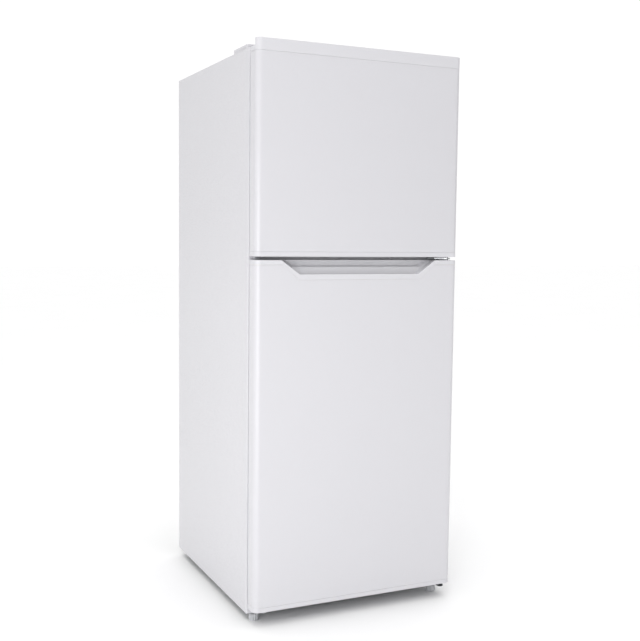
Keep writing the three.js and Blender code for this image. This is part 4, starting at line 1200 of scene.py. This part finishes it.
def compressor_shell():
    """Two pressed halves with a rolled weld between them, on a foot plate with four ears."""
    x, y, radius, seam = (COMPRESSOR[name] for name in ("x", "y", "radius", "seam"))
    bottom, top, bend, flange = COMPRESSOR["bottom"], COMPRESSOR["top"], 24, radius + 2
    dish = [(0.5, bottom), (radius - 26, bottom)]
    dish += [
        (radius - 26 + bend * math.sin(a), bottom + bend * (1 - math.cos(a)))
        for a in angles(*range(15, 91, 15))
    ]
    weld = [(radius - 1.5, seam - 6), (radius, seam - 4), (flange, seam - 3)]
    weld += [(flange + 1.5 * math.cos(a), seam + 2.6 * math.sin(a)) for a in angles(-50, -25, 0, 25, 50)]
    weld += [(flange, seam + 3), (radius, seam + 4)]
    dome = [(radius - 1 - k / 2, seam + 8 + (top - 60 - seam) * k / 3) for k in range(4)]
    dome += [
        ((radius - 3) * math.cos(a), top - 52 + 52 * math.sin(a))
        for a in angles(12, 24, 36, 48, 58, 68, 78, 86)
    ]
    shell = lathe([*dish, *weld, *dome, (0.5, top)], (x, y, 0), sides=96)
    quarter = [(105, 60), (60, 60), (50, 48)]
    signs = ((-1, -1, 1), (1, -1, -1), (1, 1, 1), (-1, 1, -1))
    corners = [
        (x + side * across, y + turn * along)
        for side, turn, order in signs for across, along in quarter[::order]
    ]
    outline = fillet(corners, [12, 6, 6, 6, 6, 12] * 2, 5)
    return united(shell, softened(prism("z", outline, 32, 37), 0.8, 3, 40))


def ears():
    """The places of the compressor's four fixings."""
    return [
        (COMPRESSOR["x"] + side * 84, COMPRESSOR["y"] + turn * 46, 0) for side in (-1, 1) for turn in (-1, 1)
    ]


def build_compressor():
    stand_in("compressor", compressor_shell())
    grommet = lathe([(4, 27), (11, 27), (11.5, 28), (11.5, 29), (9, 30), (11.5, 31), (11, 31.9), (4, 31.9)])
    piece("compressor_grommets", copies(grommet, ears()), "cabinet", "black_plastic")
    washer = lathe([(0.3, 37), (9, 37), (9, 38.4), (6.5, 38.4), (0.3, 38.4)])
    profile = [(0.3, 38.4), (6, 38.4), (6.4, 39), (6.4, 43), (5.8, 43.8)]
    profile += [(3, 43.8), (3, 49), (2.5, 49.6), (0.3, 49.6)]
    bolt = joined(washer, lathe(profile, sides=6))
    piece("compressor_bolts", copies(bolt, ears()), "cabinet", "plated_steel")
    low, high = span("compressor_terminal_cover")
    cover = softened(block(low, high), 5, 5, 30)
    for k in range(4):
        z = low.z + 18 + 12 * k
        cover = cut(cover, block((high.x - 1.2, low.y + 8, z), (high.x + 3, high.y - 8, z + 3)))
    stand_in("compressor_terminal_cover", softened(cover, 0.4, 2, 60))
    start, bend, front, level = low.x + 6, high.x - 3, high.x + 1.6, low.z + 30
    clip = [(start, low.y - 1.4), (bend, low.y - 1.4), (front, low.y + 3)]
    clip += [(front, high.y - 3), (bend, high.y + 1.4), (start, high.y + 1.4)]
    clip = smooth_path([(x, y, level) for x, y in clip], 6)
    piece("terminal_cover_clip", tube(clip, 1.1, 10), "cabinet", "plated_steel")


def pipework():
    """The copper pipes behind: discharge, suction and service pipes, and the filter drier."""
    stand_in("discharge_pipe", tube(smooth_path(PIPE, 12), PIPE_RADIUS, 16))
    x, y = COMPRESSOR["x"], COMPRESSOR["y"]
    suction = [
        (x - 60, y + 44, 150), (x - 66, y + 66, 156), (x - 84, y + 82, 170), (x - 100, y + 84, 196),
        (x - 104, y + 80, 240), (x - 104, y + 76, PIPE_TOP),
    ]
    service = [(x + 48, y + 56, 138), (x + 54, y + 72, 140), (x + 64, y + 84, 146), (x + 80, y + 88, 156)]
    inlet = [
        (232, 268, 156), (234, 266, 176), (246, 262, 196), (258, 258, 214), (264, 256, 240),
        (264, 256, PIPE_TOP),
    ]
    half = [(9.8, 38), (9.4, 42), (4, 50)]
    drier = [(1.2, -62), (1.6, -58), *[(radius, -height) for radius, height in reversed(half)]]
    drier = lathe([*drier, *half, (3, 58), (3, 62)], (232, 268, 96), sides=28)
    pipes = joined(
        tube(smooth_path(suction, 8), 4.2, 16), tube(smooth_path(service, 8), 3, 14), drier,
        tube(smooth_path(inlet, 8), 3, 14),
    )
    piece("suction_and_drier_pipes", pipes, "cabinet", "copper")
    coil = []
    for k in range(2, 61):
        turn = k / 60 * 2.5
        angle = 2 * math.pi * turn
        coil.append((196 + 20 * math.cos(angle), 262 + 14 * math.sin(angle), 60 + 6.8 * turn))
    capillary = [(232, 268, 35), (230, 267, 30.5), (222, 264, 31), (216, 262, 40), *coil]
    capillary += [(150, 250, 120), (100, 276, 190), (60, 290, PIPE_TOP)]
    piece("capillary_tube", tube(smooth_path(capillary, 2), 1.2, 8), "cabinet", "copper")


def drip_tray():
    low, high = span("drip_tray")
    profile = [(7, low.z, 8), (5, low.z + 0.5, 9), (4, low.z + 2, 10), (2.5, high.z - 6, 11)]
    profile += [(0, high.z - 3, 12), (0, high.z - 0.8, 12), (0.8, high.z, 12), (2.6, high.z, 11)]
    profile += [(4.6, high.z - 4, 10), (6, low.z + 4, 9), (8, low.z + 2.2, 8)]
    return loft(rings_of("z", low.xy, high.xy, profile))


def gland():
    """A rubber bush with a groove round it for the panel's edge."""
    low, high = span("cord_gland")
    centre = middle_of("cord_gland")
    centre.y = 0
    front = [(4, 0), (10.4, 0), (12, 1.4), (12, 5.4), (11.7, 5.7)]
    front += [(7.7, 5.7), (7.7, 8.3), (11.7, 8.3), (12, 8.7)]
    front = [(radius, low.y + height) for radius, height in front]
    back = [(12, high.y - 1), (11, high.y), (5.2, high.y), (4, high.y - 1)]
    return lathe(front + back, centre, "y", 48, hollow=True)


def roller(node):
    """A wheel with a hub, turning about an axis along X."""
    low, high = span(node)
    centre = middle_of(node)
    centre.x = 0
    half = [(3.3, 0), (7.5, 0), (8, 1.2), (9.4, 1.2), (10.2, 0.2), (11, 1.4)]
    profile = [(radius, low.x + height) for radius, height in half]
    profile += [(radius, high.x - height) for radius, height in reversed(half)]
    return lathe(profile, centre, "x", 48, hollow=True)


def build_machine_space():
    keep("base_pan", 0.4)
    for node in ("rear_roller_left", "rear_roller_right"):
        stand_in(node, roller(node))
    build_compressor()
    pipework()
    stand_in("drip_tray", drip_tray())
    stand_in("cord_gland", gland())


# ---- Stage ----
CAMERA = {"place": (-1.1808, -2.6077, 1.0071), "yaw": 25.035, "pitch": 4.801, "roll": 0.649, "lens": 54.68}


def add_camera():
    yaw, pitch, roll = (math.radians(CAMERA[name]) for name in ("yaw", "pitch", "roll"))
    forward = Vector((
        math.sin(yaw) * math.cos(pitch), math.cos(yaw) * math.cos(pitch), -math.sin(pitch),
    ))
    right = Vector((math.cos(yaw), -math.sin(yaw), 0))
    up = right.cross(forward)
    across = math.cos(roll) * right + math.sin(roll) * up
    upright = -math.sin(roll) * right + math.cos(roll) * up
    data = bpy.data.cameras.new("camera")
    data.lens = CAMERA["lens"]
    data.sensor_width = 36
    camera = bpy.data.objects.new("camera", data)
    bpy.context.scene.collection.objects.link(camera)
    turned = Matrix((across, upright, -forward)).transposed().to_4x4()
    camera.matrix_world = Matrix.Translation(CAMERA["place"]) @ turned
    bpy.context.scene.camera = camera


def add_light(name, kind, place, target, power, **values):
    """A light that faces its target. Places are in metres."""
    data = bpy.data.lights.new(name, kind)
    data.energy = power
    for key, value in values.items():
        setattr(data, key, value)
    light = bpy.data.objects.new(name, data)
    bpy.context.scene.collection.objects.link(light)
    light.location = place
    light.rotation_euler = (Vector(target) - Vector(place)).to_track_quat("-Z", "Y").to_euler()


def add_world():
    """A soft grey room with a bright ceiling and one white wall, behind and right of the object."""
    world = bpy.data.worlds.new("studio")
    bpy.context.scene.world = world
    world.use_nodes = True
    tree = world.node_tree
    place = node_of(tree, "ShaderNodeTexCoord")
    levels = []
    for direction, start, end, bright in (
        ((0.42, 0.90, -0.08), 0.35, 0.86, 1.03), ((0.0, 0.0, 1.0), 0.12, 0.75, 0.85),
    ):
        toward = node_of(tree, "ShaderNodeVectorMath", operation="DOT_PRODUCT")
        toward.inputs[1].default_value = direction
        link(tree, place, "Generated", toward, 0)
        level = node_of(tree, "ShaderNodeMapRange", interpolation_type="SMOOTHSTEP")
        for name, value in (("From Min", start), ("From Max", end), ("To Min", 0.2), ("To Max", bright)):
            level.inputs[name].default_value = value
        link(tree, toward, "Value", level, "Value")
        levels.append(level)
    brighter = node_of(tree, "ShaderNodeMath", operation="MAXIMUM")
    for i, level in enumerate(levels):
        link(tree, level, "Result", brighter, i)
    background = tree.nodes["Background"]
    background.inputs["Color"].default_value = (1, 1, 1, 1)
    link(tree, brighter, "Value", background, "Strength")


def add_floor():
    bm = bmesh.new()
    bmesh.ops.create_grid(bm, x_segments=8, y_segments=8, size=30)
    mesh = bpy.data.meshes.new("floor")
    bm.to_mesh(mesh)
    bm.free()
    floor = bpy.data.objects.new("floor", mesh)
    bpy.context.scene.collection.objects.link(floor)
    mesh.materials.append(surface(
        "floor", [(0.94, 0.94, 0.94), (0.955, 0.955, 0.955)], 1.5, (0.7, 0.8), (80, 0.1, 0.1),
    ))


def build_stage():
    add_camera()
    add_world()
    add_floor()
    add_light("key", "AREA", (-1.75, -1.9, 0.6), (-0.2, 0, 0.7), 18, shape="SQUARE", size=1.5)
    add_light("high_front", "AREA", (-2.0, -3.3, 3.9), (0, 0, 0.8), 34, shape="SQUARE", size=1.2)
    add_light("overhead", "SUN", (0, 0, 4), (0, 0, 0), 0.95, angle=math.radians(60))
    bpy.context.scene.view_settings.view_transform = "Standard"


build_stage()
build_doors()
build_cabinet()
build_hinges()
build_rooms()
build_machine_space()
